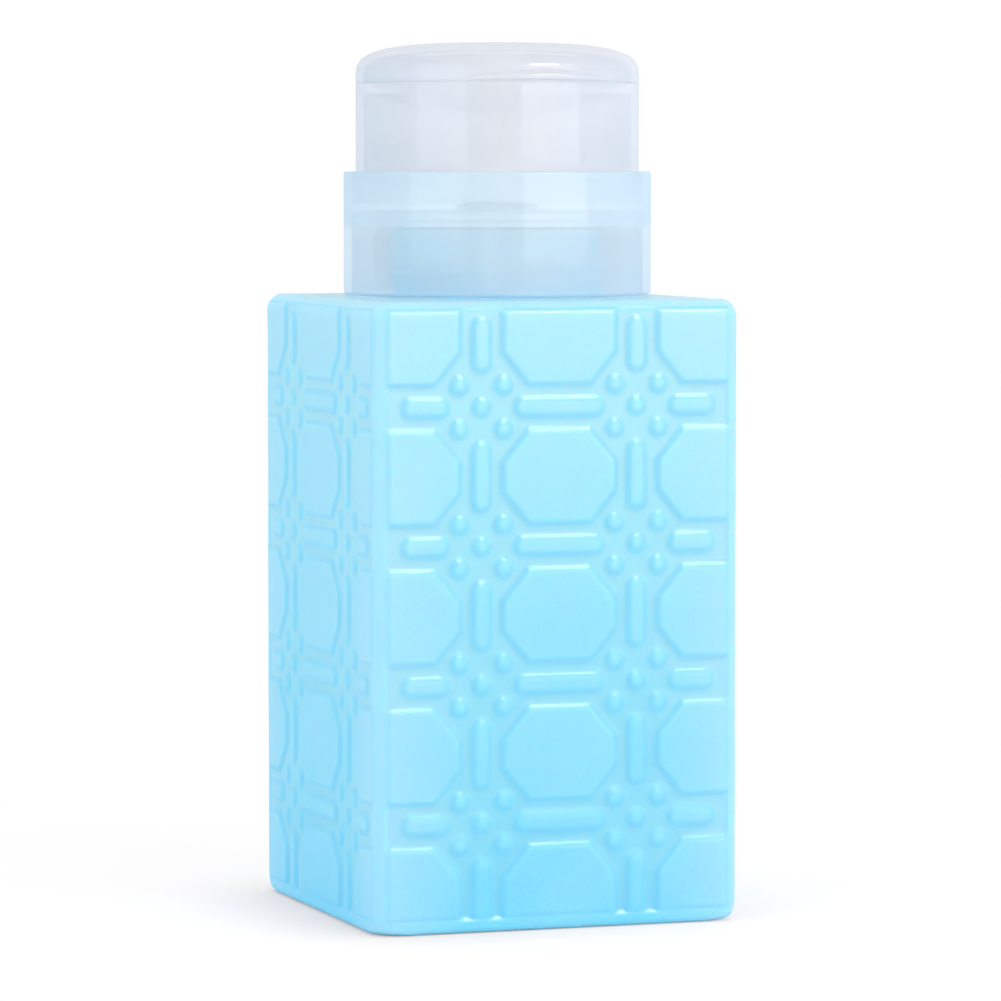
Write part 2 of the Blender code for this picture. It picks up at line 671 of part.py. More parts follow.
def build_gasket(material, axis):
    """Soft ring between the neck and the pump's flange."""
    inner = NECK_RADIUS - GASKET_WIDTH
    top = GASKET_Z + GASKET_THICKNESS
    profile = [(inner, GASKET_Z), (NECK_RADIUS, GASKET_Z), (NECK_RADIUS, top), (inner, top)]
    make_piece("neck_gasket", turned(profile, MEDIUM), material, axis)


def build_housing(material, axis):
    """Pump cylinder: tube socket, valve seat, chamber, flange, rim and air vent."""
    profile = [(SOCKET_BORE_RADIUS, HOUSING_Z), (SOCKET_RADIUS, HOUSING_Z),
               (SOCKET_RADIUS, TUBE_STOP_Z), (HOUSING_RADIUS, INLET_CONE_TOP),
               (HOUSING_RADIUS, FLANGE_Z), (NECK_RADIUS, FLANGE_Z),
               (NECK_RADIUS, FLANGE_TOP), (HOUSING_RADIUS, FLANGE_TOP),
               (HOUSING_RADIUS, DECK_TOP), (CHAMBER_RADIUS, DECK_TOP),
               (CHAMBER_RADIUS, STEP_Z), (INLET_POCKET_RADIUS, STEP_Z),
               (INLET_POCKET_RADIUS, INLET_CONE_TOP), (INLET_ORIFICE_RADIUS, INLET_SEAT_Z),
               (INLET_ORIFICE_RADIUS, TUBE_STOP_Z), (SOCKET_BORE_RADIUS, TUBE_STOP_Z)]
    housing = make_piece("pump_housing", turned(profile, MEDIUM), material, axis)
    vent_z = (PISTON_TOP + PISTON_Z) / 2
    vent = rod(VENT_RADIUS, (0, -CHAMBER_RADIUS / 2, vent_z),
               (0, -HOUSING_RADIUS - OVERRUN, vent_z), HOLE_SIDES)
    combine(housing, make_cutter("vent", vent), "DIFFERENCE")


def build_chaplet(material, axis):
    """Bush that guides the stem and keeps the collar on the pump."""
    flange_top = CHAPLET_Z + CHAPLET_FLANGE_THICKNESS
    profile = [(GUIDE_RADIUS, PLUG_Z), (SLIDING_RADIUS, PLUG_Z), (SLIDING_RADIUS, CHAPLET_Z),
               (CHAPLET_FLANGE_RADIUS, CHAPLET_Z), (CHAPLET_FLANGE_RADIUS, flange_top),
               (CHAPLET_BOSS_RADIUS, flange_top), (CHAPLET_BOSS_RADIUS, CHAPLET_TOP),
               (GUIDE_RADIUS, CHAPLET_TOP)]
    make_piece("chaplet", turned(profile, MEDIUM), material, axis)


def build_cage(material, axis):
    """Ball cage: disc over the inlet ball with ports, and a pin inside the spring."""
    recess_z = CAGE_Z + CAGE_RECESS_DEPTH
    profile = [(0, recess_z), (CAGE_RECESS_RADIUS, recess_z), (CAGE_RECESS_RADIUS, CAGE_Z),
               (SLIDING_RADIUS, CAGE_Z), (SLIDING_RADIUS, CAGE_TOP), (CAGE_PIN_RADIUS, CAGE_TOP),
               (CAGE_PIN_RADIUS, CAGE_TOP + CAGE_PIN_HEIGHT), (0, CAGE_TOP + CAGE_PIN_HEIGHT)]
    cage = make_piece("ball_cage", turned(profile, COARSE), material, axis)
    for number in range(4):
        angle = math.tau * number / 4
        x = CAGE_PORT_CIRCLE * math.cos(angle)
        y = CAGE_PORT_CIRCLE * math.sin(angle)
        port = rod(CAGE_PORT_RADIUS, (x, y, CAGE_Z), (x, y, CAGE_TOP + OVERRUN), HOLE_SIDES)
        combine(cage, make_cutter(f"cage_port_{number + 1}", port), "DIFFERENCE")


def build_ball(name, radius, height, material, axis):
    """A valve ball on the pump's axis."""
    bm = bmesh.new()
    bmesh.ops.create_uvsphere(bm, u_segments=BALL_SIDES, v_segments=BALL_RINGS, radius=radius,
                              matrix=Matrix.Translation((0, 0, height)))
    make_piece(name, bm, material, axis)


def build_dip_tube(material, axis):
    """Tube from the housing's socket to the bottle's floor, its foot cut on the slant."""
    bottom = FLOOR_Z + TUBE_FLOOR_CLEARANCE
    top = TUBE_STOP_Z - GAP
    inner = TUBE_RADIUS - TUBE_WALL
    profile = [(inner, bottom), (TUBE_RADIUS, bottom), (TUBE_RADIUS, top), (inner, top)]
    bm = turned(profile, TUBE_SIDES)
    middle = (bottom + top) / 2
    for vert in bm.verts:
        if vert.co.z < middle:
            vert.co.z += TUBE_BEVEL * (TUBE_RADIUS - vert.co.y) / (2 * TUBE_RADIUS)
    make_piece("dip_tube", bm, material, axis)


def spring_points():
    """Middle line of the spring's wire, from its foot to its top."""
    rise = SPRING_LENGTH - 2 * WIRE_RADIUS
    count = SPRING_TURNS * CURL_POINTS
    points = []
    for step in range(count + 1):
        angle = math.tau * step / CURL_POINTS
        height = SPRING_Z + WIRE_RADIUS + rise * step / count
        points.append(Vector((SPRING_RADIUS * math.cos(angle), SPRING_RADIUS * math.sin(angle), height)))
    return points


def least_self_gap(points, radius):
    """Smallest space between turns of the wire, measured on its points."""
    nearest = min((points[i] - points[j]).length
                  for i in range(len(points))
                  for j in range(i + CURL_POINTS // 2, len(points)))
    return nearest - 2 * radius


def build_spring(material, axis):
    """Return spring: one unbroken wire, wound by a loop."""
    points = spring_points()
    print(f"return_spring least gap to itself: {1000 * least_self_gap(points, WIRE_RADIUS):.2f} mm")
    curve = bpy.data.curves.new("return_spring", "CURVE")
    curve.dimensions = "3D"
    curve.bevel_depth = WIRE_RADIUS
    curve.bevel_resolution = 1
    curve.use_fill_caps = True
    curve.materials.append(material)
    spline = curve.splines.new("POLY")
    spline.points.add(len(points) - 1)
    origin = axis.matrix_world.translation
    for target, point in zip(spline.points, points):
        target.co = (*(point - origin), 1)
    spring = bpy.data.objects.new("return_spring", curve)
    spring.parent = axis
    bpy.context.scene.collection.objects.link(spring)


def build_stem(material, axis):
    """Hollow stem: flange over the piston, side ports, and a valve seat in its head."""
    flange_z = STEM_FLANGE_TOP - STEM_FLANGE_THICKNESS
    bottom = FOOT_TOP + GAP
    profile = [(STEM_BORE_RADIUS, bottom), (STEM_RADIUS, bottom), (STEM_RADIUS, flange_z),
               (STEM_FLANGE_RADIUS, flange_z), (STEM_FLANGE_RADIUS, STEM_FLANGE_TOP),
               (STEM_RADIUS, STEM_FLANGE_TOP), (STEM_RADIUS, STEM_TOP),
               (OUTLET_POCKET_RADIUS, STEM_TOP), (OUTLET_POCKET_RADIUS, OUTLET_CONE_TOP),
               (OUTLET_ORIFICE_RADIUS, OUTLET_SEAT_Z),
               (OUTLET_ORIFICE_RADIUS, OUTLET_SEAT_Z - SEAT_LAND),
               (STEM_BORE_RADIUS, OUTLET_SEAT_Z - SEAT_LAND)]
    stem = make_piece("stem", turned(profile, COARSE), material, axis)
    port_z = bottom + FOOT_SPIGOT_HEIGHT + STEM_PORT_RADIUS
    port = rod(STEM_PORT_RADIUS, (-STEM_RADIUS - OVERRUN, 0, port_z),
               (STEM_RADIUS + OVERRUN, 0, port_z), HOLE_SIDES)
    combine(stem, make_cutter("stem_port", port), "DIFFERENCE")


def build_piston(material, axis):
    """Double-lipped piston ring that slides in the chamber."""
    waist = SLIDING_RADIUS - PISTON_WAIST_DEPTH
    profile = [(GUIDE_RADIUS, PISTON_Z), (SLIDING_RADIUS, PISTON_Z),
               (SLIDING_RADIUS, PISTON_Z + PISTON_LIP),
               (waist, PISTON_Z + PISTON_LIP + PISTON_WAIST_DEPTH),
               (waist, PISTON_TOP - PISTON_LIP - PISTON_WAIST_DEPTH),
               (SLIDING_RADIUS, PISTON_TOP - PISTON_LIP), (SLIDING_RADIUS, PISTON_TOP),
               (GUIDE_RADIUS, PISTON_TOP)]
    make_piece("piston", turned(profile, MEDIUM), material, axis)


def build_foot(material, axis):
    """Disc under the piston, plugged into the stem, which the spring pushes up."""
    spigot = STEM_BORE_RADIUS - GAP
    profile = [(0, FOOT_Z), (FOOT_DISC_RADIUS, FOOT_Z), (FOOT_DISC_RADIUS, FOOT_TOP),
               (spigot, FOOT_TOP), (spigot, FOOT_TOP + FOOT_SPIGOT_HEIGHT),
               (0, FOOT_TOP + FOOT_SPIGOT_HEIGHT)]
    make_piece("piston_foot", turned(profile, COARSE), material, axis)


def dish_height(radius):
    """Height of the dish's upper surface above its middle."""
    return DISH_Z + DISH_RISE * (radius / RIM_INNER_RADIUS) ** 2


def lug_outline():
    """Side view of a hinge lug, as (y, z): a round eye on a gusset from the head's wall."""
    wall = RIM_RADIUS
    below_top = HEAD_TOP - EDGE
    eye = arc((HINGE_Y, HINGE_Z), KNUCKLE_RADIUS, 180, -20, EYE_STEPS)
    return [(wall, HEAD_TOP - LUG_DROP), (wall, below_top), (HINGE_Y - KNUCKLE_RADIUS, below_top)] + eye


def build_head(material, axis):
    """Press head: skirt, snap rim, concave pad dish, hub, ribs and hinge lugs."""
    dish = []
    underside = []
    for step in range(DISH_STEPS + 1):
        share = step / DISH_STEPS
        radius = RIM_INNER_RADIUS + (CAP_RADIUS + GAP - RIM_INNER_RADIUS) * share
        dish.append((radius, dish_height(radius)))
        radius = HUB_RADIUS + (SKIRT_INNER_RADIUS - HUB_RADIUS) * share
        underside.append((radius, dish_height(radius) - DISH_THICKNESS))
    channel_z = CAP_Z - CAP_SPIGOT_LENGTH - GAP
    channel_radius = CAP_SPIGOT_RADIUS + GAP
    profile = [(SKIRT_INNER_RADIUS, SKIRT_Z), (HEAD_RADIUS - EDGE, SKIRT_Z),
               (HEAD_RADIUS, SKIRT_Z + EDGE), (HEAD_RADIUS, HEAD_TOP - EDGE),
               (HEAD_RADIUS - EDGE, HEAD_TOP), (RIM_RADIUS, HEAD_TOP),
               (RIM_RADIUS, HEAD_TOP + RIM_HEIGHT), (RIM_INNER_RADIUS, HEAD_TOP + RIM_HEIGHT)]
    profile += dish
    profile += [(CAP_RADIUS + GAP, CAP_SEAT_Z), (channel_radius, CAP_SEAT_Z),
                (channel_radius, channel_z), (JET_RADIUS, channel_z), (JET_RADIUS, SOCKET_TOP),
                (GUIDE_RADIUS, SOCKET_TOP), (GUIDE_RADIUS, HUB_Z), (HUB_RADIUS, HUB_Z)]
    profile += underside
    head = make_piece("press_head", turned(profile, FINE), material, axis)

    rib_top = DISH_Z - DISH_THICKNESS / 2
    for number in range(RIB_COUNT // 2):
        reach = SKIRT_INNER_RADIUS + HEAD_WALL / 2
        rib = block((-reach, -RIB_THICKNESS / 2, rib_top - RIB_DEPTH - DISH_THICKNESS / 2),
                    (reach, RIB_THICKNESS / 2, rib_top))
        bore = rod(GUIDE_RADIUS + EDGE, (0, 0, HUB_Z), (0, 0, DISH_Z), MEDIUM)
        turn = Matrix.Rotation(math.tau * (number + 0.5) / RIB_COUNT, 4, "Z")
        rib.transform(turn)
        tool = make_cutter(f"rib_{number + 1}", rib)
        combine(tool, make_cutter(f"rib_{number + 1}_bore", bore), "DIFFERENCE")
        combine(head, tool, "UNION")

    for side in (-1, 1):
        near = side * (KNUCKLE_LENGTH / 2 + GAP)
        far = near + side * LUG_THICKNESS
        lug = slab(lug_outline(), near, far, lambda y, z, x: (x, y, z))
        combine(head, make_cutter("lug_right" if side > 0 else "lug_left", lug), "UNION")
    reach = KNUCKLE_LENGTH / 2 + GAP + LUG_THICKNESS + OVERRUN
    bore = rod(HINGE_BORE_RADIUS, (-reach, HINGE_Y, HINGE_Z), (reach, HINGE_Y, HINGE_Z), PIN_SIDES)
    combine(head, make_cutter("lug_bore", bore), "DIFFERENCE")


def build_cap(material, axis):
    """Nozzle in the middle of the dish, with a hole and crossed slots."""
    bottom = CAP_Z - CAP_SPIGOT_LENGTH
    profile = [(CAP_HOLE_RADIUS, bottom), (CAP_SPIGOT_RADIUS, bottom), (CAP_SPIGOT_RADIUS, CAP_Z),
               (CAP_RADIUS, CAP_Z), (CAP_RADIUS, CAP_TOP - EDGE), (CAP_RADIUS - EDGE, CAP_TOP),
               (CAP_HOLE_RADIUS, CAP_TOP)]
    cap = make_piece("outlet_cap", turned(profile, COARSE), material, axis)
    reach = CAP_RADIUS + OVERRUN
    half = CAP_SLOT_WIDTH / 2
    top = CAP_TOP + OVERRUN
    across = block((-reach, -half, CAP_TOP - CAP_SLOT_DEPTH), (reach, half, top))
    along = block((-half, -reach, CAP_TOP - CAP_SLOT_DEPTH), (half, reach, top))
    combine(cap, make_cutter("cap_slot_across", across), "DIFFERENCE")
    combine(cap, make_cutter("cap_slot_along", along), "DIFFERENCE")


def dome(radius, height, base, steps):
    """Profile of a dome with a flat crown and a full shoulder, from its edge to its top."""
    power = 2 / DOME_POWER_SHARE
    points = []
    for step in range(steps + 1):
        angle = math.pi / 2 * step / steps
        r = radius * max(math.cos(angle), 0) ** power if step < steps else 0
        points.append((r, base + height * math.sin(angle) ** power))
    return points


def lip_mesh():
    """Thumb lip: a crescent that stands out of the lid's lower edge at the front."""
    sections = []
    for step in range(LIP_STEPS + 1):
        share = (2 * step / LIP_STEPS - 1) * (1 - EDGE / LIP_REACH / 4)
        angle = -math.pi / 2 + LIP_HALF_ANGLE * share
        swell = math.cos(math.pi / 2 * share)
        reach = LIP_REACH * swell
        rise = LIP_HEIGHT * math.sqrt(swell)
        root = LID_Z + rise
        nose = LID_Z + rise / 2
        section = [(LID_RADIUS - LIP_ROOT, LID_Z), (LID_RADIUS + reach, LID_Z),
                   (LID_RADIUS + reach, nose), (LID_RADIUS, root), (LID_RADIUS - LIP_ROOT, root)]
        sections.append([(r * math.cos(angle), r * math.sin(angle), z) for r, z in section])
    return lofted(sections)


def build_lid(material, axis):
    """Flip lid: domed shell, post for the seal, thumb lip and hinge knuckle."""
    outer = dome(LID_RADIUS, LID_HEIGHT, LID_Z, LID_STEPS)
    inner = dome(LID_RADIUS - LID_WALL, LID_HEIGHT - CROWN_WALL, LID_Z, LID_INNER_STEPS)
    crown = LID_Z + LID_HEIGHT - CROWN_WALL
    inside = [point for point in inner if point[0] > POST_RADIUS]
    profile = [(0, crown), (POST_BORE_RADIUS, crown), (POST_BORE_RADIUS, POST_Z),
               (POST_RADIUS, POST_Z), (POST_RADIUS, crown)]
    profile += inside[::-1] + outer
    lid = make_piece("flip_lid", turned(profile, FINE), material, axis)
    combine(lid, make_cutter("thumb_lip", lip_mesh()), "UNION")

    half = KNUCKLE_LENGTH / 2
    root = LID_RADIUS - LID_WALL / 2
    web = [(root, LID_Z), (HINGE_Y, LID_Z), (HINGE_Y, HINGE_Z + KNUCKLE_RADIUS - EDGE),
           (root, LID_Z + WEB_RISE)]
    combine(lid, make_cutter("lid_web", slab(web, -half, half, lambda y, z, x: (x, y, z))), "UNION")
    knuckle = rod(KNUCKLE_RADIUS, (-half, HINGE_Y, HINGE_Z), (half, HINGE_Y, HINGE_Z), PIN_SIDES)
    combine(lid, make_cutter("lid_knuckle", knuckle), "UNION")
    reach = half + OVERRUN
    bore = rod(HINGE_BORE_RADIUS, (-reach, HINGE_Y, HINGE_Z), (reach, HINGE_Y, HINGE_Z), PIN_SIDES)
    combine(lid, make_cutter("knuckle_bore", bore), "DIFFERENCE")


def build_pin(material, axis):
    """Plain pin through the lugs and the knuckle."""
    reach = KNUCKLE_LENGTH / 2 + GAP + LUG_THICKNESS
    pin = rod(HINGE_PIN_RADIUS, (-reach, HINGE_Y, HINGE_Z), (reach, HINGE_Y, HINGE_Z), PIN_SIDES)
    make_piece("hinge_pin", pin, material, axis)


def build_seal(material, axis):
    """Soft plug in the lid's post that closes the nozzle."""
    disc_top = SEAL_Z + SEAL_DISC_THICKNESS
    plug = POST_BORE_RADIUS - GAP
    profile = [(0, SEAL_Z), (POST_RADIUS, SEAL_Z), (POST_RADIUS, disc_top), (plug, disc_top),
               (plug, disc_top + SEAL_PLUG_LENGTH), (0, disc_top + SEAL_PLUG_LENGTH)]
    make_piece("lid_seal", turned(profile, COARSE), material, axis)


def main():
    clear_scene()
    blue = make_material("frosted_blue", (0.45, 0.84, 0.96), 0.42)
    milky = make_material("milky_white", (0.83, 0.86, 0.90), 0.30)
    clear = make_material("natural_plastic", (0.80, 0.82, 0.84), 0.38)
    soft = make_material("soft_white", (0.88, 0.88, 0.87), 0.60)
    steel = make_material("steel", (0.62, 0.63, 0.65), 0.28, metallic=1.0)

    foot = make_axis("bottle_base", (0, 0, 0))
    pump = make_axis("pump_lift_axis", (0, 0, NECK_TOP), foot)
    collar = make_axis("collar_turn_axis", (0, 0, COLLAR_Z), pump)
    inlet = make_axis("inlet_ball_axis", (0, 0, INLET_BALL_Z), pump)
    press = make_axis("press_axis", (0, 0, HUB_Z), pump)
    outlet = make_axis("outlet_ball_axis", (0, 0, OUTLET_BALL_Z), press)
    hinge = make_axis("lid_hinge_axis", (0, HINGE_Y, HINGE_Z), press)

    build_bottle(blue, foot)
    build_gasket(soft, pump)
    build_collar(milky, collar)
    build_housing(clear, pump)
    build_chaplet(clear, pump)
    build_cage(clear, pump)
    build_dip_tube(clear, pump)
    build_spring(steel, pump)
    build_ball("inlet_ball", INLET_BALL_RADIUS, INLET_BALL_Z, steel, inlet)
    build_stem(clear, press)
    build_piston(soft, press)
    build_foot(clear, press)
    build_head(milky, press)
    build_cap(clear, press)
    build_ball("outlet_ball", OUTLET_BALL_RADIUS, OUTLET_BALL_Z, steel, outlet)
    build_pin(steel, press)
    build_lid(milky, hinge)
    build_seal(soft, hinge)


main()
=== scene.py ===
"""Looks of the nail polish remover pump, built around its packed CAD model."""

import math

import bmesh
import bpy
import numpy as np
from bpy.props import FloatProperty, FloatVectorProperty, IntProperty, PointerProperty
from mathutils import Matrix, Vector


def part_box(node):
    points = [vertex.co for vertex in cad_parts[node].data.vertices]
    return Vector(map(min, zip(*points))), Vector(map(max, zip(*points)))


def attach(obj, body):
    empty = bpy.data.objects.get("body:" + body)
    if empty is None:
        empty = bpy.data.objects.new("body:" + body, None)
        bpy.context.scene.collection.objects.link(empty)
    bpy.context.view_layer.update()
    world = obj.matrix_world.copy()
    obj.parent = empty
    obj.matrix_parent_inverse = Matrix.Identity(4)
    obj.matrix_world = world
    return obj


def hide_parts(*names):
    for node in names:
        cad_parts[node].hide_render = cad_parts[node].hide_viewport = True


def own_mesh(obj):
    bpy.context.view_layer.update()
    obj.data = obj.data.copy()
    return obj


bl_info = {
    "name": "Nail Polish Remover Pump",
    "version": (1, 0, 0),
    "blender": (4, 5, 0),
    "location": "3D View > Sidebar > Remover Pump",
    "description": "Builds the fine shells, finishes and studio of a push-down remover pump",
    "category": "Object",
}

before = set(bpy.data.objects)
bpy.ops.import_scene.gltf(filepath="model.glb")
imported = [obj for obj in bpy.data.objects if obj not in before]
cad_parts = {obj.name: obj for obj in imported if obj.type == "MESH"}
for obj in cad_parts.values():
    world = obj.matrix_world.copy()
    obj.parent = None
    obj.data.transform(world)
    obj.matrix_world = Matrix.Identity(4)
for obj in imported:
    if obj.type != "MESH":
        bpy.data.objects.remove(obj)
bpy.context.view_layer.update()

BOTTLE_LOW, BOTTLE_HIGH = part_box("bottle")
COLLAR_LOW, COLLAR_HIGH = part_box("screw_collar")
HEAD_LOW, HEAD_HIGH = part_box("press_head")
CAP_LOW, CAP_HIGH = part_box("outlet_cap")
PIN_LOW, PIN_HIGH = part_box("hinge_pin")
SPRING_LOW, SPRING_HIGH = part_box("return_spring")
LID_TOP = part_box("flip_lid")[1].z
CHAPLET_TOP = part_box("chaplet")[1].z
STEM_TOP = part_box("stem")[1].z
SEAL_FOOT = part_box("lid_seal")[0].z
HINGE_Y = (PIN_LOW.y + PIN_HIGH.y) / 2
HINGE_Z = (PIN_LOW.z + PIN_HIGH.z) / 2

MM = 0.001
CLEARANCE = 0.3 * MM            # between pieces that face each other
PIN_BORE = 0.9 * MM             # radius of the hinge's bore
TINY = 1e-9                     # shorter than this counts as nothing

# Rounds of moulded edges
CRISP, FINE, LIGHT, MEDIUM = 0.1 * MM, 0.15 * MM, 0.2 * MM, 0.25 * MM
SOFT, FULL, WIDE = 0.3 * MM, 0.4 * MM, 0.5 * MM


def length(name, default, description):
    """A size in metres that someone may set."""
    return FloatProperty(name=name, description=description, default=default, min=0.0,
                         subtype="DISTANCE", unit="LENGTH", precision=5)


def colour(name, default, description):
    """A linear colour that someone may set."""
    return FloatVectorProperty(name=name, description=description, default=default, size=3,
                               min=0.0, max=1.0, subtype="COLOR")


def angle(name, degrees, description, **limits):
    """An angle that someone may set."""
    return FloatProperty(name=name, description=description, default=math.radians(degrees),
                         subtype="ANGLE", unit="ROTATION", **limits)


def amount(name, default, description, low=0.0, high=10.0):
    """A plain number that someone may set."""
    return FloatProperty(name=name, description=description, default=default, min=low, max=high)


class RemoverBottleSettings(bpy.types.PropertyGroup):
    """Sizes of the bottle and of the lattice on its sides"""
    body_height: length("Body height", 0.091, "From the base to the flat shoulder")
    corner_radius: length("Corner radius", 0.0026, "Round of the four upright corners")
    shoulder_radius: length("Shoulder radius", 0.0024, "Round between the sides and the shoulder")
    foot_radius: length("Foot radius", 0.0012, "Round between the sides and the base")
    foot_corner_radius: length("Foot corner radius", 0.0065, "Round of the corners at the base")
    foot_corner_height: length("Foot corner height", 0.0038, "Where the corners start to round off")
    wall: length("Wall", 0.0012, "Wall behind the sunk ground of the lattice")
    shoulder_wall: length("Shoulder wall", 0.0015, "Thickness of the flat shoulder")
    base_wall: length("Base wall", 0.0014, "Thickness of the base over its push-up")
    push_up: length("Push-up", 0.0008, "Depth of the recess under the base")
    push_up_margin: length("Push-up margin", 0.006, "From the side to the recess under the base")
    neck_radius: length("Neck radius", 0.0155, "Outside of the neck between the threads")
    neck_wall: length("Neck wall", 0.0016, "Wall of the neck")
    thread_height: length("Thread height", 0.0009, "How far the screw thread stands out")
    thread_pitch: length("Thread pitch", 0.0032, "Rise of the screw thread in one turn")
    relief: length("Relief", 0.00045, "Depth of the lattice's sunk ground")
    front_period: length("Front period", 0.0237, "Between crossings, on the front and back")
    side_period: length("Side period", 0.027, "Between crossings, on the left and right")
    row_period: length("Row period", 0.020, "Between rows of crossings")
    top_row_drop: length("Top row drop", 0.0152, "From the shoulder to the top row of crossings")
    bar_width: length("Bar width", 0.0037, "Width of a bar at its foot")
    bar_start: length("Bar start", 0.0046, "From a crossing to the bars around it")
    bar_side_margin: length("Bar side margin", 0.0037, "From the side to the short bars' ends")
    bar_top_margin: length("Bar top margin", 0.0019, "From the shoulder to the top bars' ends")
    panel_foot: length("Panel foot", 0.0020, "From the base up to the sunk panels")
    panel_side: length("Panel side", 0.0018, "From the side to the sunk panels")
    panel_top: length("Panel top", 0.0009, "From the shoulder down to the sunk panels")
    pad_groove: length("Pad groove", 0.0008, "Between an octagon's foot and a bar's foot")
    pad_chamfer_across: length("Chamfer across", 0.0042, "Width of an octagon's cut corner")
    pad_chamfer_up: length("Chamfer up", 0.0050, "Height of an octagon's cut corner")
    dot_radius: length("Dot radius", 0.0017, "Radius of a dot at its foot")
    dot_across: length("Dot across", 0.00335, "From a crossing to its outer dots, across")
    dot_up: length("Dot up", 0.00315, "From a crossing to its outer dots, up")
    grid: length("Grid", 0.00036, "Spacing of the points that carry the lattice")
    crest_colour: colour("Crest colour", (0.415, 0.765, 0.995), "Raised pads and plain parts")
    ground_colour: colour("Ground colour", (0.440, 0.780, 0.990), "Sunk ground between the pads")
    # Painted shade: darker blue painted on the flanks of the pads, bars and dots, standing in for
    # their shading
    flank_shade_colour: colour("Crease colour", (0.190, 0.630, 0.960), "Flanks of the pads, bars and dots")
    # Painted highlight: paler blue painted near the upright corners, along the shoulder and over the
    # neck; it also tints the random clouding
    highlight_and_cloud_colour: colour("Edge colour", (0.460, 0.760, 0.985), "Paler blue near edges and shoulder")
    # Painted shade: deeper blue painted towards the base
    base_shade_colour: colour("Foot colour", (0.215, 0.680, 0.990), "Deeper blue towards the base")


class RemoverCollarSettings(bpy.types.PropertyGroup):
    """Sizes of the screw collar"""
    wall: length("Wall", 0.0012, "Wall of the outer shroud")
    foot_radius: length("Foot radius", 0.0011, "Round at the shroud's foot")
    rim_radius: length("Rim radius", 0.0003, "Round at the shroud's rim")
    deck_thickness: length("Deck thickness", 0.0010, "Thickness of the deck over the neck")
    deck_hole: length("Deck hole radius", 0.0063, "Hole that the pump passes through")
    sleeve_radius: length("Sleeve radius", 0.0170, "Inside of the screw sleeve")
    sleeve_wall: length("Sleeve wall", 0.0014, "Wall of the screw sleeve")
    sleeve_lift: length("Sleeve lift", 0.0008, "From the shroud's foot up to the sleeve's")
    thread_height: length("Thread height", 0.0004, "How far the sleeve's thread stands in")
    seam_angle: angle("Seam angle", -112.5, "Where a cloudier strip of the sleeve is")
    seam_half_angle: angle("Seam half angle", 4, "Half of the arc that the cloudier strip spans",
                           min=0.0)
    milky_colour: colour("Milky colour", (0.605, 0.725, 0.805), "Bluish white of the collar")


class RemoverHeadSettings(bpy.types.PropertyGroup):
    """Sizes of the press head"""
    milky_colour: colour("Milky colour", (0.72, 0.712, 0.758), "White of the press head and lid")
    wall: length("Wall", 0.0012, "Wall of the skirt")
    rim_gap: length("Rim step", 0.0018, "From the outside in to the snap rim")
    rim_width: length("Rim width", 0.0009, "Thickness of the snap rim")
    rim_height: length("Rim height", 0.0011, "From the snap rim's top to the skirt's own top")
    land_drop: length("Land drop", 0.0005, "From the skirt's own top down to the lid's land")
    dish_depth: length("Dish depth", 0.0040, "From the land down to the middle of the dish")
    dish_rise: length("Dish rise", 0.0029, "From the middle of the dish up to its edge")
    dish_thickness: length("Dish thickness", 0.0012, "Thickness of the dish")
    hub_radius: length("Hub radius", 0.0043, "Outside of the hub around the stem")
    hub_bore: length("Hub bore radius", 0.0027, "Socket for the stem")
    cap_seat: length("Nozzle seat radius", 0.0034, "Recess for the nozzle in the dish")
    cap_sink: length("Nozzle sink", 0.0006, "Depth of the nozzle's recess")
    rib_thickness: length("Rib thickness", 0.0008, "Ribs under the dish")
    rib_depth: length("Rib depth", 0.0016, "How far the ribs stand down")


class RemoverLidSettings(bpy.types.PropertyGroup):
    """Sizes of the flip lid and its hinge"""
    parting: length("Parting", 0.00004, "Slit between the closed lid and the press head")
    wall: length("Wall", 0.0012, "Wall of the lid's side")
    crown_wall: length("Crown wall", 0.0012, "Thickness of the lid's top")
    shoulder_power: amount("Shoulder power", 3.3, "Fullness of the rounded outline", 2.0, 8.0)
    post_radius: length("Post radius", 0.0036, "Tube that carries the seal")
    post_bore: length("Post bore radius", 0.0026, "Inside of the seal's tube")
    lip_height: length("Lip height", 0.0017, "Height of the thumb lip")
    lip_reach: length("Lip reach", 0.0016, "How far the thumb lip stands out")
    lip_half_angle: angle("Lip half angle", 31.7, "Half of the arc that the thumb lip spans",
                          min=0.1, max=1.5)
    knuckle_radius: length("Knuckle radius", 0.0016, "Round eyes of the hinge")
    knuckle_length: length("Knuckle length", 0.0080, "The lid's eye between the lugs")
    lug_thickness: length("Lug thickness", 0.0030, "Width of each of the head's lugs")
    lug_drop: length("Lug drop", 0.0048, "From the land down to the foot of a lug")


class RemoverPumpSettings(bpy.types.PropertyGroup):
    """Sizes and colours of the inner pump"""
    wire_radius: length("Wire radius", 0.0004, "Return spring's wire")
    spring_turns: IntProperty(name="Spring turns", default=7, min=2, max=20,
                              description="Turns of the return spring")
    natural_colour: colour("Natural colour", (0.80, 0.83, 0.86), "Uncoloured inner mouldings")
    seal_colour: colour("Seal colour", (0.86, 0.86, 0.84), "Gasket and seal")
    steel_colour: colour("Steel colour", (0.60, 0.61, 0.63), "Spring, balls and hinge pin")


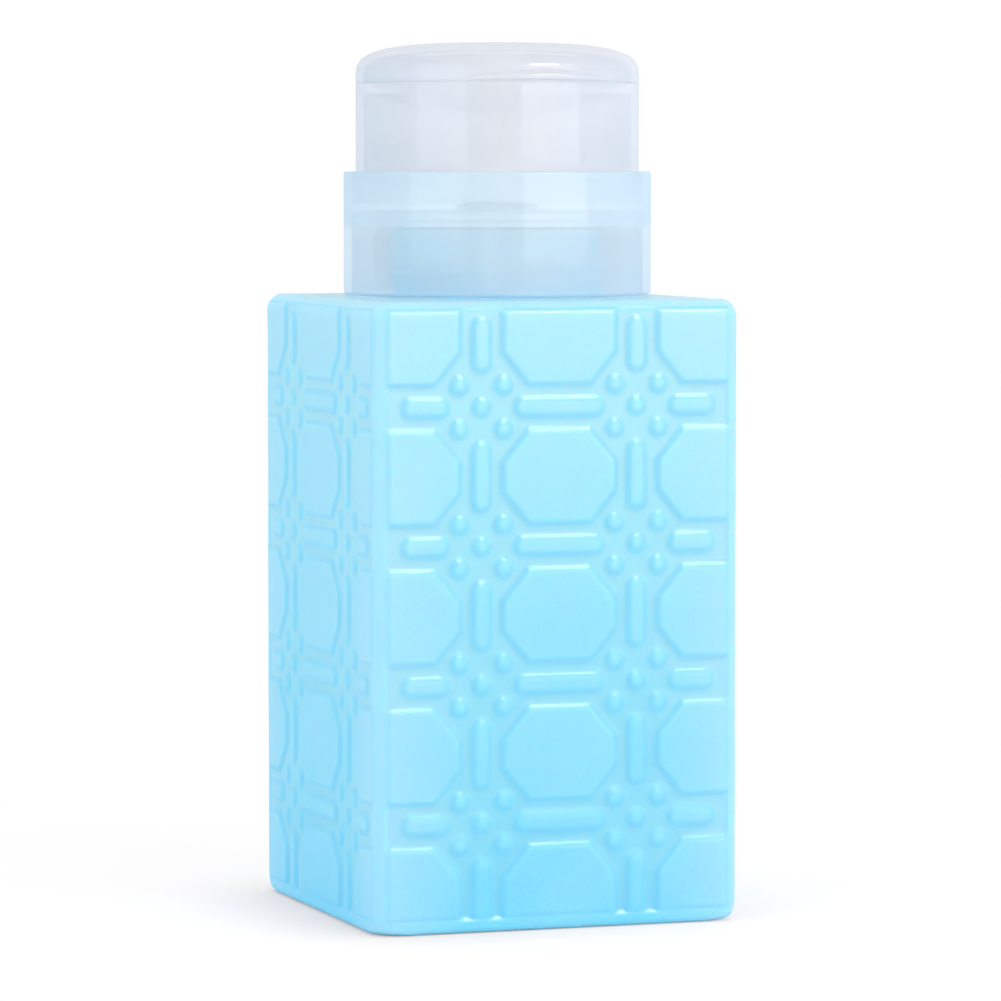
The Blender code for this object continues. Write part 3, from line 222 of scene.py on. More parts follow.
class RemoverStageSettings(bpy.types.PropertyGroup):
    """Camera and light of the studio"""
    azimuth: angle("Azimuth", 18.9, "Camera's turn to the left of the front")
    pitch: angle("Pitch", 3.62, "How far the camera looks down")
    distance: length("Distance", 0.8009, "From the camera to the point it looks at")
    aim_height: length("Aim height", 0.06056, "Height of the point that the camera looks at")
    aim_side: length("Aim side", 0.000486, "How far right of the axis the camera looks")
    lens: amount("Lens", 193.3, "Focal length in millimetres on a 36 mm wide frame", 20.0, 400.0)
    ambient: amount("Ambient", 0.55, "Even light from all round", high=2.0)
    softbox_light: amount("Softbox", 1.9, "Brightness of the softboxes in front")
    edge_light: amount("Edge light", 14.0, "Light that only glints on edges that face up", high=50.0)
    fill_light: amount("Fill", 1.9, "Brightness of the softboxes at the sides")
    fill_colour: colour("Fill colour", (0.12, 0.62, 1.0), "Cool light of the softboxes at the sides")


# Meshes

def grid_piece(name, rows, start_pole=None, end_pole=None, wrap_rows=False):
    """A piece from rows of points, each row closed on itself, with a point to close each end."""
    rows = np.asarray(rows, float)
    count, columns = rows.shape[0], rows.shape[1]
    points = rows.reshape(-1, 3)
    index = np.arange(count * columns).reshape(count, columns)
    after = np.roll(index, -1, axis=1)
    if wrap_rows:
        upper, upper_after = np.roll(index, -1, axis=0), np.roll(after, -1, axis=0)
        quads = np.stack([index, after, upper_after, upper], -1).reshape(-1, 4)
    else:
        quads = np.stack([index[:-1], after[:-1], after[1:], index[1:]], -1).reshape(-1, 4)
    extra = [p for p in (start_pole, end_pole) if p is not None]
    if extra:
        points = np.vstack([points, np.array(extra, float)])
    triangles = []
    spare = count * columns
    if start_pole is not None:
        triangles.append(np.stack([after[0], index[0], np.full(columns, spare)], -1))
        spare += 1
    if end_pole is not None:
        triangles.append(np.stack([index[-1], after[-1], np.full(columns, spare)], -1))
    triangles = np.concatenate(triangles) if triangles else np.zeros((0, 3), int)
    corners = np.concatenate([quads.ravel(), triangles.ravel()])
    totals = np.concatenate([np.full(len(quads), 4), np.full(len(triangles), 3)])
    mesh = bpy.data.meshes.new(name)
    mesh.vertices.add(len(points))
    mesh.vertices.foreach_set("co", points.astype(np.float32).ravel())
    mesh.loops.add(len(corners))
    mesh.loops.foreach_set("vertex_index", corners.astype(np.int32))
    mesh.polygons.add(len(totals))
    mesh.polygons.foreach_set("loop_start", (np.cumsum(totals) - totals).astype(np.int32))
    mesh.update(calc_edges=True)
    mesh.validate()
    piece = bpy.data.objects.new(name, mesh)
    bpy.context.scene.collection.objects.link(piece)
    return piece


def quarter(steps, first=0, last=None):
    """Sine and cosine at even steps of a quarter turn."""
    for k in range(first, (steps if last is None else last) + 1):
        turn = math.pi / 2 * k / steps
        yield math.sin(turn), math.cos(turn)


def ring_of(radius, height, angles, thread=None):
    """A level circle of points, with an optional thread that moves them in or out."""
    radii = np.full(len(angles), float(radius))
    if thread is not None:
        radii = radii + thread(angles, height)
    return np.stack([radii * np.cos(angles), radii * np.sin(angles),
                     np.full(len(angles), float(height))], -1)


def filleted(outline, steps=4, leg_share=0.49):
    """Round the corners of a profile of (radius, height, fillet) points."""
    result = []
    count = len(outline)
    for i, (r, z, fillet) in enumerate(outline):
        here = Vector((r, z))
        before = Vector(outline[i - 1][:2]) - here
        after = Vector(outline[(i + 1) % count][:2]) - here
        if fillet <= 0 or i == 0 and r < TINY or before.length < TINY or after.length < TINY:
            result.append((r, z))
            continue
        half = before.angle(after) / 2
        reach = min(fillet / math.tan(half), before.length * leg_share, after.length * leg_share)
        radius = reach * math.tan(half)
        start = here + before.normalized() * reach
        end = here + after.normalized() * reach
        middle = here + (before.normalized() + after.normalized()).normalized() * (
            radius / math.sin(half))
        low = start - middle
        high = end - middle
        sweep = low.angle_signed(high)
        for step in range(steps + 1):
            turned = low.copy()
            turned.rotate(Matrix.Rotation(-sweep * step / steps, 2))
            result.append(tuple(middle + turned))
    return result


def turned_piece(name, outline, segments=144, steps=4, thread=None, thread_from=None):
    """Turn a profile round the Z axis. A profile that starts on the axis also ends there."""
    profile = filleted(outline, steps)
    angles = np.linspace(0, math.tau, segments, endpoint=False)
    poles = [None, None]
    if profile[0][0] < TINY:
        poles = [(0, 0, profile[0][1]), (0, 0, profile[-1][1])]
        profile = profile[1:-1]
    rows = []
    for r, z in profile:
        bend = thread if thread and thread_from(r, z) else None
        rows.append(ring_of(r, z, angles, bend))
    return grid_piece(name, rows, *poles, wrap_rows=poles[0] is None)


def merge_shape(piece, other, operation="UNION"):
    """Join or cut a piece with another closed shape, which is then removed."""
    modifier = piece.modifiers.new("shape", "BOOLEAN")
    modifier.operation = operation
    modifier.object = other
    modifier.solver = "EXACT"
    depsgraph = bpy.context.evaluated_depsgraph_get()
    mesh = bpy.data.meshes.new_from_object(piece.evaluated_get(depsgraph))
    piece.modifiers.clear()
    old = piece.data
    piece.data = mesh
    mesh.name = piece.name
    bpy.data.meshes.remove(old)
    bpy.data.objects.remove(other, do_unlink=True)
    return piece


def solid_from(name, bm):
    """A scratch object from a bmesh."""
    bmesh.ops.recalc_face_normals(bm, faces=bm.faces)
    mesh = bpy.data.meshes.new(name)
    bm.to_mesh(mesh)
    bm.free()
    obj = bpy.data.objects.new(name, mesh)
    bpy.context.scene.collection.objects.link(obj)
    return obj


def rod_shape(name, radius, start, end, steps=48):
    """A round rod between two points."""
    start, end = Vector(start), Vector(end)
    turn = (end - start).to_track_quat("Z", "Y").to_matrix().to_4x4()
    bm = bmesh.new()
    bmesh.ops.create_cone(bm, cap_ends=True, segments=steps, radius1=radius, radius2=radius,
                          depth=(end - start).length,
                          matrix=Matrix.Translation((start + end) / 2) @ turn)
    return solid_from(name, bm)


def plate_shape(name, outline, start, end, place):
    """An outline pushed from one depth to another, with a function that places its points."""
    bm = bmesh.new()
    near = [bm.verts.new(place(u, v, start)) for u, v in outline]
    far = [bm.verts.new(place(u, v, end)) for u, v in outline]
    bm.faces.new(near)
    bm.faces.new(reversed(far))
    for i in range(len(outline)):
        j = (i + 1) % len(outline)
        bm.faces.new((near[i], near[j], far[j], far[i]))
    return solid_from(name, bm)


def upright(a):
    """Placing of an upright plate that is turned about the axis."""
    along = Vector((math.cos(a), math.sin(a)))
    across = Vector((-math.sin(a), math.cos(a)))
    return lambda u, v, w: (along.x * u + across.x * w, along.y * u + across.y * w, v)


def sideways(y, z, x):
    """Placing of a plate whose outline is drawn from the side."""
    return (x, y, z)


def smooth(piece, degrees=32):
    """Smooth shading with sharp edges past an angle."""
    piece.data.shade_smooth()
    piece.data.set_sharp_from_angle(angle=math.radians(degrees))
    return piece


def finish_piece(piece, body, material, slot, *nodes):
    """Give a piece its finish, its body and the CAD nodes that it stands for."""
    piece.data.materials.clear()
    piece.data.materials.append(material)
    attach(piece, body)
    if nodes:
        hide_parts(*nodes)
    return piece


# Finishes

def add_node(tree, kind, inputs=None, **settings):
    """A new node, each of its inputs given as a value or as a socket to link from."""
    node = tree.nodes.new(kind)
    for name, value in settings.items():
        setattr(node, name, value)
    for name, value in (inputs or {}).items():
        if isinstance(value, bpy.types.NodeSocket):
            tree.links.new(value, node.inputs[name])
        else:
            node.inputs[name].default_value = value
    return node


def shader_group(name, inputs, outputs):
    """An empty shader node group with float inputs and outputs."""
    group = bpy.data.node_groups.new(name, "ShaderNodeTree")
    for label, value in inputs.items():
        socket = group.interface.new_socket(name=label, in_out="INPUT",
                                            socket_type="NodeSocketFloat")
        socket.default_value = value
    for label in outputs:
        group.interface.new_socket(name=label, in_out="OUTPUT", socket_type="NodeSocketFloat")
    return group


def mould_grain_group():
    """Fine grain, slow clouding and flow lines of a moulded plastic surface."""
    name = "Mould Grain"
    if name in bpy.data.node_groups:
        return bpy.data.node_groups[name]
    group = shader_group(name, {"Grain Scale": 4200.0, "Cloud Scale": 70.0,
                                "Flow Stretch": 0.25}, ("Grain", "Cloud", "Flow"))
    enter = add_node(group, "NodeGroupInput").outputs
    place = add_node(group, "ShaderNodeTexCoord").outputs["Object"]
    stretch = add_node(group, "ShaderNodeCombineXYZ",
                       {"X": 1.0, "Y": 1.0, "Z": enter["Flow Stretch"]})
    stretched = add_node(group, "ShaderNodeVectorMath",
                         {0: place, 1: stretch.outputs["Vector"]}, operation="MULTIPLY")
    noises = {"Grain": {"Vector": place, "Scale": enter["Grain Scale"], "Detail": 2.0,
                        "Roughness": 0.6},
              "Cloud": {"Vector": place, "Scale": enter["Cloud Scale"], "Detail": 3.0},
              "Flow": {"Vector": stretched.outputs["Vector"], "Scale": 240.0, "Detail": 1.0}}
    add_node(group, "NodeGroupOutput",
             {label: add_node(group, "ShaderNodeTexNoise", inputs).outputs["Fac"]
              for label, inputs in noises.items()})
    return group


def new_finish(name, grain_inputs=None):
    """A material with its node tree, its Principled shader and the outputs of its grain group."""
    material = bpy.data.materials.new(name)
    material.use_nodes = True
    tree = material.node_tree
    grain = add_node(tree, "ShaderNodeGroup", grain_inputs, node_tree=mould_grain_group())
    return material, tree, tree.nodes["Principled BSDF"], grain.outputs


def mapped(tree, source, low, high, from_low=0.35, from_high=0.65):
    """Map a value between two levels."""
    node = add_node(tree, "ShaderNodeMapRange",
                    {"Value": source, "From Min": from_low, "From Max": from_high,
                     "To Min": low, "To Max": high})
    return node.outputs["Result"]


def mixed(tree, factor, first, second):
    """Mix two colours, each a plain colour or a socket, by a factor that varies."""
    first, second = (side if isinstance(side, bpy.types.NodeSocket) else (*side, 1.0)
                     for side in (first, second))
    node = add_node(tree, "ShaderNodeMix", {"Factor": factor, 6: first, 7: second},
                    data_type="RGBA")
    return node.outputs[2]


def maths(tree, operation, first, second):
    """Outcome of a sum with two values, each a number or a socket."""
    node = add_node(tree, "ShaderNodeMath", {0: first, 1: second}, operation=operation)
    return node.outputs["Value"]


def point_value(tree, name):
    """A value that the mesh carries on its points."""
    return add_node(tree, "ShaderNodeAttribute", attribute_name=name).outputs["Fac"]


def shaded(colour, share):
    """A colour made paler or darker."""
    return tuple(min(1.0, c * share) for c in colour)


def coloured(tree, shader, mask, first, second):
    """Vary the shader's colour between two by a mask."""
    tree.links.new(mixed(tree, mask, first, second), shader.inputs["Base Color"])


def roughened(tree, shader, mask, low, high):
    """Vary the shader's roughness between two levels by a mask."""
    tree.links.new(mapped(tree, mask, low, high), shader.inputs["Roughness"])


def bumped(tree, shader, height, strength, distance):
    """Feed a height to the shader's normal."""
    bump = add_node(tree, "ShaderNodeBump",
                    {"Height": height, "Strength": strength, "Distance": distance})
    tree.links.new(bump.outputs["Normal"], shader.inputs["Normal"])


def coated(tree, shader, facing, sloping, start, end, roughness):
    """A gloss coat that is stronger where the surface faces the eye than where it slopes away."""
    slope = add_node(tree, "ShaderNodeLayerWeight", {"Blend": 0.5})
    tree.links.new(mapped(tree, slope.outputs["Facing"], facing, sloping, start, end),
                   shader.inputs["Coat Weight"])
    shader.inputs["Coat Roughness"].default_value = roughness


def clouded(tree, shader, near, far, spread_share=0.08):
    """Let a wall cloud what lies behind it at its near side, and pass most of the light on."""
    side = add_node(tree, "ShaderNodeNewGeometry").outputs["Backfacing"]
    wall = add_node(tree, "ShaderNodeMix", {"Factor": side, 2: near, 3: far}).outputs[0]
    path = add_node(tree, "ShaderNodeLightPath").outputs
    spread = maths(tree, "MAXIMUM", path["Is Shadow Ray"], path["Is Diffuse Ray"])
    passed = mapped(tree, spread, 1.0, spread_share, 0.0, 1.0)
    tree.links.new(maths(tree, "MULTIPLY", wall, passed), shader.inputs["Alpha"])


def frosted_blue_finish(settings):
    """Translucent blue bottle plastic, with painted shade on the flanks of the relief and towards the
    base, and painted highlight near the edges, the shoulder and the neck.
    """
    material, tree, shader, grain = new_finish("frosted_blue_plastic", {
        "Grain Scale": 1900.0, "Cloud Scale": 60.0})
    relief = point_value(tree, "relief")
    body = mixed(tree, relief, settings.ground_colour, settings.crest_colour)
    for mask, tint in (
            # painted shade towards the base
            (maths(tree, "MULTIPLY", point_value(tree, "deep"), 0.85), settings.base_shade_colour),
            # painted highlight near the corners, the shoulder and the neck
            (maths(tree, "MULTIPLY", point_value(tree, "edge"), 0.8), settings.highlight_and_cloud_colour),
            # random clouding towards the same paler blue
            (mapped(tree, grain["Cloud"], 0.0, 0.22), settings.highlight_and_cloud_colour),
            # painted shade on the flanks of the relief
            (maths(tree, "MULTIPLY", point_value(tree, "crease"), 0.4), settings.flank_shade_colour)):
        body = mixed(tree, mask, body, tint)
    tree.links.new(body, shader.inputs["Base Color"])
    roughened(tree, shader, grain["Flow"], 0.36, 0.46)
    bumped(tree, shader, maths(tree, "MULTIPLY", grain["Grain"], relief), 0.5, 0.08 * MM)
    shader.inputs["Subsurface Weight"].default_value = 1.0
    shader.inputs["Subsurface Radius"].default_value = (0.3, 0.8, 1.0)
    shader.inputs["Subsurface Scale"].default_value = 2 * MM
    shader.inputs["Specular IOR Level"].default_value = 0.1
    shader.inputs["IOR"].default_value = 1.35
    coated(tree, shader, 0.5, 0.1, 0.2, 0.65, 0.12)
    return material


def milky_finish(settings, name="milky_plastic", cloudiness=0.78):
    """Glossy milky plastic: each wall clouds what lies behind it once, at its near side."""
    material, tree, shader, grain = new_finish(name, {"Grain Scale": 1500.0, "Cloud Scale": 45.0})
    coloured(tree, shader, mapped(tree, grain["Cloud"], 0.0, 1.0, 0.15, 0.85),
             settings.milky_colour, shaded(settings.milky_colour, 1.04))
    shader.inputs["Roughness"].default_value = 0.25
    bumped(tree, shader, grain["Grain"], 0.02, 0.02 * MM)
    clear = point_value(tree, "clear")
    clouded(tree, shader, mapped(tree, clear, cloudiness, 0.12, 0.0, 1.0), 0.08)
    shader.inputs["Specular IOR Level"].default_value = 0.0
    shader.inputs["IOR"].default_value = 1.3
    coated(tree, shader, 0.85, 0.03, 0.4, 0.72, 0.04)
    return material


def milky_collar_finish(settings):
    """The collar's own milky plastic, bluer and a little cloudier."""
    return milky_finish(settings, "milky_collar_plastic", 0.85)


def natural_finish(settings):
    """Uncoloured matt moulding of the inner pump."""
    material, tree, shader, grain = new_finish("natural_plastic")
    coloured(tree, shader, mapped(tree, grain["Cloud"], 0.0, 1.0), settings.natural_colour,
             shaded(settings.natural_colour, 1.08))
    roughened(tree, shader, grain["Grain"], 0.34, 0.48)
    bumped(tree, shader, grain["Grain"], 0.1, 0.04 * MM)
    clouded(tree, shader, mapped(tree, grain["Cloud"], 0.66, 0.7), 0.1)
    return material


def seal_finish(settings):
    """Soft white sealing material with a fine closed-cell grain."""
    material, tree, shader, grain = new_finish("soft_seal", {"Grain Scale": 5200.0})
    coloured(tree, shader, mapped(tree, grain["Grain"], 0.0, 1.0),
             shaded(settings.seal_colour, 0.86), settings.seal_colour)
    roughened(tree, shader, grain["Cloud"], 0.55, 0.7)
    bumped(tree, shader, grain["Grain"], 0.3, 0.06 * MM)
    return material


def steel_finish(settings):
    """Drawn stainless steel with a faint drawing grain."""
    material, tree, shader, grain = new_finish("stainless_steel", {"Flow Stretch": 0.05})
    coloured(tree, shader, mapped(tree, grain["Flow"], 0.0, 1.0),
             shaded(settings.steel_colour, 0.85), settings.steel_colour)
    roughened(tree, shader, grain["Flow"], 0.18, 0.32)
    bumped(tree, shader, grain["Flow"], 0.08, 0.02 * MM)
    shader.inputs["Metallic"].default_value = 1.0
    return material


def finish_named(name, maker, settings):
    """A finish that more than one operator uses, made once."""
    return bpy.data.materials.get(name) or maker(settings)


# Bottle

CORNER_STEPS = 9                # points round each upright corner
SMALLEST_CORNER = 0.05 * MM
POLE_RADIUS = 3 * MM            # innermost ring of the base and of the inner floor
WAVE = 0.012 * MM               # slight waviness of the moulded sides
PAD_FLANK = 1.15 * MM           # width of an octagon's flank
BAR_FLANK = 1.5 * MM            # width over which bars and dots rise
BORDER_FLANK = 0.45 * MM        # width of the flank round a side's panel
LINE_WIDTH = 0.38 * MM          # half width of the fine line beside that flank
LINE_OFFSET = 0.2 * MM          # from the panel's edge to that line
LINE_DEPTH_SHARE = 0.25
NECK_ROOT = 0.7 * MM            # round between shoulder and neck
NECK_LIP = 0.35 * MM            # round of the neck's mouth
THREAD_ROWS = 34
THREAD_TURNS = 1.5
THREAD_START = 1.9 * MM         # from the shoulder up to the thread's start
THREAD_HALF_WIDTH = 0.75 * MM
THREAD_TAPER = 0.5              # radians over which its ends fade
THREAD_STEEPNESS = 1.8
INNER_ROUND = 0.6 * MM          # under the shoulder, inside
FLOOR_ROUND = 0.8 * MM          # above the floor, inside
# Reach of the painted highlight in from the corners and down from the shoulder
CORNER_REACH = 16 * MM          # how far the paler blue runs in from the upright corners
SHOULDER_REACH = 14 * MM        # how far it runs down from the shoulder


class RemoverBottleShell:
    """Works out the bottle's skin as rows of points around its axis."""

    def __init__(self, settings):
        self.s = settings
        self.half_x = (BOTTLE_HIGH.x - BOTTLE_LOW.x) / 2
        self.half_y = (BOTTLE_HIGH.y - BOTTLE_LOW.y) / 2
        self.neck_top = BOTTLE_HIGH.z
        radius = settings.corner_radius
        columns = []
        for face in range(4):
            half = (self.half_x if face % 2 == 0 else self.half_y) - radius
            count = int(math.ceil(2 * half / settings.grid))
            for k in range(count + 1):
                columns.append((face, 2 * k / count - 1, 0.0))
            for k in range(1, CORNER_STEPS):
                columns.append((face, 1.0, math.pi / 2 * k / CORNER_STEPS))
        self.face, self.share, self.swing = np.array(columns).T
        base = self.level(0.0, settings.corner_radius, 0.0)
        self.angles = np.unwrap(np.arctan2(base[:, 1], base[:, 0]))

    def level(self, inset, radius, height):
        """A level ring of the rounded square, moved in by a value or by one for each point."""
        radius = np.maximum(radius, SMALLEST_CORNER)
        turn = self.face * math.pi / 2
        across = np.where(self.face % 2 == 0, self.half_x, self.half_y) - inset
        out = np.where(self.face % 2 == 0, self.half_y, self.half_x) - inset
        u = np.where(self.swing > 0, across - radius + radius * np.sin(self.swing),
                     self.share * (across - radius))
        w = np.where(self.swing > 0, out - radius + radius * np.cos(self.swing), out)
        x = u * np.cos(turn) + w * np.sin(turn)
        y = u * np.sin(turn) - w * np.cos(turn)
        return np.stack([x, y, np.full(len(x), float(height))], -1)

    def circle(self, radius, height, thread=None):
        """A level circle with one point for each column."""
        return ring_of(radius, height, self.angles, thread)

    def between(self, first, second, steps):
        """Rows between two rings, without the rings themselves."""
        return [first + (second - first) * k / steps for k in range(1, steps)]

    def corner(self, height):
        """Radius of the upright corners, which grows towards the base."""
        s = self.s
        share = max(1 - height / s.foot_corner_height, 0.0)
        grown = s.foot_corner_radius - s.corner_radius
        return s.corner_radius + grown * (1 - math.sqrt(1 - share ** 2))

    def carve(self, rows):
        """Sink the lattice's ground into the four sides. It runs out through the rounded edges."""
        s = self.s
        points = np.array(rows)
        sunk = np.zeros(points.shape[:2])
        crease = np.zeros_like(sunk)
        for face in range(4):
            turn = face * math.pi / 2
            normal = np.array([math.sin(turn), -math.cos(turn), 0.0])
            along = np.array([math.cos(turn), math.sin(turn), 0.0])
            out, across = (self.half_y, self.half_x)[::1 if face % 2 == 0 else -1]
            period = s.front_period if face % 2 == 0 else s.side_period
            depth = out - points @ normal
            relief = self.face_relief(points @ along, points[..., 2], period, across)
            deeper = np.maximum(s.relief * (1 - relief) - depth, 0)
            points -= deeper[..., None] * normal
            sunk = np.maximum(sunk, deeper / s.relief)
            # Mask of painted shade on the flanks, strongest midway up each flank
            slope = np.clip(5 * np.minimum(relief, 1 - relief) - 0.1, 0, 1)
            crease = np.maximum(crease, slope * (depth < s.relief))
        return points, 1 - sunk, crease

    def face_relief(self, u, v, period, half):
        """Relief of one side, 0 on the ground and 1 on the crests."""
        s = self.s
        panel = np.maximum(np.abs(u) - half + s.panel_side, np.maximum(
            s.panel_foot - v, v - s.body_height + s.panel_top))
        top_row = s.body_height - s.top_row_drop
        count = int((top_row - s.panel_foot - s.bar_start) // s.row_period) + 1
        rows = [top_row - k * s.row_period for k in range(count)]
        # octagons, folded into one cell; those at the top and foot run on to the panel's edge
        clear = s.bar_width / 2 + s.pad_groove
        rise = (v - top_row) / s.row_period
        du = np.abs(u - np.round(u / period) * period)
        dv = np.abs(v - (top_row + (np.round(rise - 0.5) + 0.5) * s.row_period))
        dv[(rise > 0.5) | (rise < 0.5 - count)] = 0
        half_u, half_v = period / 2 - clear, s.row_period / 2 - clear
        slant = ((du - half_u) * s.pad_chamfer_up + (dv - half_v) * s.pad_chamfer_across
                 + s.pad_chamfer_up * s.pad_chamfer_across)
        slant /= math.hypot(s.pad_chamfer_up, s.pad_chamfer_across)
        pads = self.flank(-np.maximum(np.maximum(du - half_u, dv - half_v), slant), PAD_FLANK)
        # bars between the crossings, and the short ones at the edges
        width = s.bar_width / 2
        node_u = np.abs(np.abs(u) - period / 2)
        node_v = np.abs(v - (top_row + np.clip(np.round(rise), 1 - count, 0) * s.row_period))
        inner = np.abs(u) < period / 2
        reach_u = np.where(inner, period / 2 - s.bar_start,
                           (half - s.bar_side_margin - period / 2 - s.bar_start) / 2)
        mid_u = np.where(inner, period / 2, s.bar_start + reach_u)
        level = np.hypot(np.maximum(np.abs(node_u - mid_u) - reach_u + width, 0), node_v) - width
        mid_v, reach_v = np.zeros_like(v), np.full_like(v, -1.0)
        edges = [s.body_height - s.bar_top_margin + s.bar_start] + rows
        edges.append(s.panel_foot - s.bar_width - s.bar_start)
        for upper, lower in zip(edges, edges[1:]):
            inside = (v <= upper) & (v >= lower)
            mid_v[inside] = (upper + lower) / 2
            reach_v[inside] = (upper - lower) / 2 - s.bar_start
        ends = np.maximum(np.abs(v - mid_v) - reach_v + width, 0)
        upright = np.where(reach_v > 0, np.hypot(node_u, ends) - width, 1.0)
        bars = self.dome(-np.minimum(level, upright), BAR_FLANK)
        # dots: one on each crossing and four around it
        around = np.hypot(node_u - s.dot_across, node_v - s.dot_up)
        dots = self.dome(s.dot_radius - np.minimum(np.hypot(node_u, node_v), around), BAR_FLANK)
        border = self.flank(panel + BORDER_FLANK, BORDER_FLANK)
        line = LINE_DEPTH_SHARE * np.clip(1 - np.abs(panel + LINE_OFFSET) / LINE_WIDTH, 0, 1)
        return np.clip(np.maximum.reduce([pads, bars, dots, border]) - line, 0, 1)

    @staticmethod
    def flank(depth, width):
        """Straight rise from a foot to a crest, eased at both ends."""
        t = np.clip(depth / width, 0.0, 1.0)
        return 0.65 * t + 0.35 * t * t * (3 - 2 * t)

    @staticmethod
    def dome(depth, width):
        """Round rise with a crisp foot, for bars and dots."""
        t = np.clip(depth / width, 0.0, 1.0)
        return np.sin(math.pi / 2 * t)

    def thread(self, angles, height):
        """Screw thread of the neck, one and a half turns with tapered ends."""
        s = self.s
        start = s.body_height + THREAD_START
        turn = np.mod(angles, math.tau)
        result = np.zeros(len(angles))
        for k in range(math.ceil(THREAD_TURNS)):
            travel = turn + k * math.tau
            line = start + travel / math.tau * s.thread_pitch
            ends = np.clip(np.minimum(travel, THREAD_TURNS * math.tau - travel) / THREAD_TAPER, 0, 1)
            near = np.clip(1 - np.abs(height - line) / THREAD_HALF_WIDTH, 0, 1)
            rise = np.minimum(near * THREAD_STEEPNESS, 1)
            result = np.maximum(result, s.thread_height * ends * rise)
        return result

    def rows(self):
        """All rows from the middle of the base round to the middle of the inner floor."""
        s = self.s
        r = s.corner_radius
        floor = s.push_up + s.base_wall
        inner = s.relief + s.wall
        base = self.corner(0.0)
        rim = self.level(s.push_up_margin, r, 0.0)
        up = self.level(s.push_up_margin + 0.5 * MM, r, s.push_up)
        centre = self.circle(POLE_RADIUS, s.push_up)
        foot = self.level(s.foot_radius, base - s.foot_radius, 0.0)
        rows = [centre] + self.between(centre, up, 3) + [up, rim]
        rows += self.between(rim, foot, 3)
        first = len(rows)
        for sine, cosine in quarter(6, last=5):
            inset, z = s.foot_radius * (1 - sine), s.foot_radius * (1 - cosine)
            rows.append(self.level(inset, self.corner(z) - inset, z))
        top = s.body_height - s.shoulder_radius
        count = int(math.ceil((top - s.foot_radius) / s.grid))
        for k, z in enumerate(np.linspace(s.foot_radius, top, count + 1)):
            wave = WAVE * (2 + np.sin(z * 310 + self.angles * 3) + np.sin(z * 97 - self.angles * 5))
            rows.append(self.level(wave * min(1.0, k / 12, (count - k) / 12), self.corner(z), z))
        for sine, cosine in quarter(11, first=1):
            inset = s.shoulder_radius * (1 - cosine)
            rows.append(self.level(inset, r - inset, top + s.shoulder_radius * sine))
        last = len(rows)
        carved, relief, crease = self.carve(rows[first:last])
        rows[first:last] = list(carved)
        around = self.circle(s.neck_radius + NECK_ROOT, s.body_height)
        rows += self.between(rows[-1], around, 4)
        for sine, cosine in quarter(4):
            rows.append(self.circle(s.neck_radius + NECK_ROOT * (1 - sine),
                                    s.body_height + NECK_ROOT * (1 - cosine)))
        for z in np.linspace(s.body_height + 1.0 * MM, self.neck_top - 0.4 * MM, THREAD_ROWS):
            rows.append(self.circle(s.neck_radius, z, self.thread))
        bore = s.neck_radius - s.neck_wall
        for sine, cosine in quarter(3):
            rows.append(self.circle(s.neck_radius - NECK_LIP * (1 - cosine),
                                    self.neck_top - NECK_LIP * (1 - sine)))
        for sine, cosine in quarter(3):
            rows.append(self.circle(bore + NECK_LIP * (1 - sine),
                                    self.neck_top - NECK_LIP * (1 - cosine)))
        under = s.body_height - s.shoulder_wall
        for out, rise in ((0, INNER_ROUND), (INNER_ROUND / 3, INNER_ROUND / 3), (INNER_ROUND, 0)):
            rows.append(self.circle(bore + out, under + rise))
        inside_top = self.level(inner + INNER_ROUND, r - inner, under)
        rows += self.between(rows[-1], inside_top, 3) + [inside_top]
        inner_corner = r - inner + 0.2 * MM
        rows.append(self.level(inner, inner_corner, under - INNER_ROUND))
        rows.append(self.level(inner, inner_corner, floor + FLOOR_ROUND))
        inside_floor = self.level(inner + FLOOR_ROUND, r - inner, floor)
        middle = self.circle(POLE_RADIUS, floor)
        rows += [inside_floor] + self.between(inside_floor, middle, 3) + [middle]
        return rows, (first, last, relief, crease)

    def build(self):
        """The bottle's mesh with its relief on its points, and masks of painted flank shade, of
        painted highlight near the edges and of painted shade towards the base.
        """
        s = self.s
        rows, (first, last, relief, crease) = self.rows()
        count = len(self.face)
        floor = s.push_up + s.base_wall
        shell = grid_piece("bottle_shell", rows, (0, 0, s.push_up), (0, 0, floor))
        total = len(shell.data.vertices)
        values = {"relief": np.ones(total), "crease": np.zeros(total), "edge": np.zeros(total),
                  "deep": np.zeros(total)}
        span = slice(first * count, last * count)
        values["relief"][span] = relief.ravel()
        values["crease"][span] = crease.ravel()
        points = np.array(rows).reshape(-1, 3)
        near_x = self.half_x - np.abs(points[:, 0])
        near_y = self.half_y - np.abs(points[:, 1])
        # Painted highlight: paler near the upright corners and the shoulder, and all over the neck,
        # standing in for light that reaches it through the collar
        corner = np.clip(1 - np.maximum(near_x, near_y) / CORNER_REACH, 0, 1) ** 1.6
        shoulder = np.clip(1 - np.abs(s.body_height - points[:, 2]) / SHOULDER_REACH, 0, 1) ** 1.5
        neck = points[:, 2] > s.body_height + 0.5 * MM
        values["edge"][:len(points)] = np.clip(corner + 0.8 * shoulder + neck, 0, 1)
        # Painted shade: deeper blue towards the base
        values["deep"][:len(points)] = np.clip(1 - points[:, 2] / (0.95 * s.body_height), 0, 1)
        for name, data in values.items():
            layer = shell.data.attributes.new(name, "FLOAT", "POINT")
            layer.data.foreach_set("value", data.astype(np.float32))
        return shell


class RemoverOperator(bpy.types.Operator):
    """Shared base of the operators, which reads the scene's settings"""
    bl_options = {"REGISTER", "UNDO"}

    def settings(self, context, name):
        return getattr(context.scene, "remover_" + name)


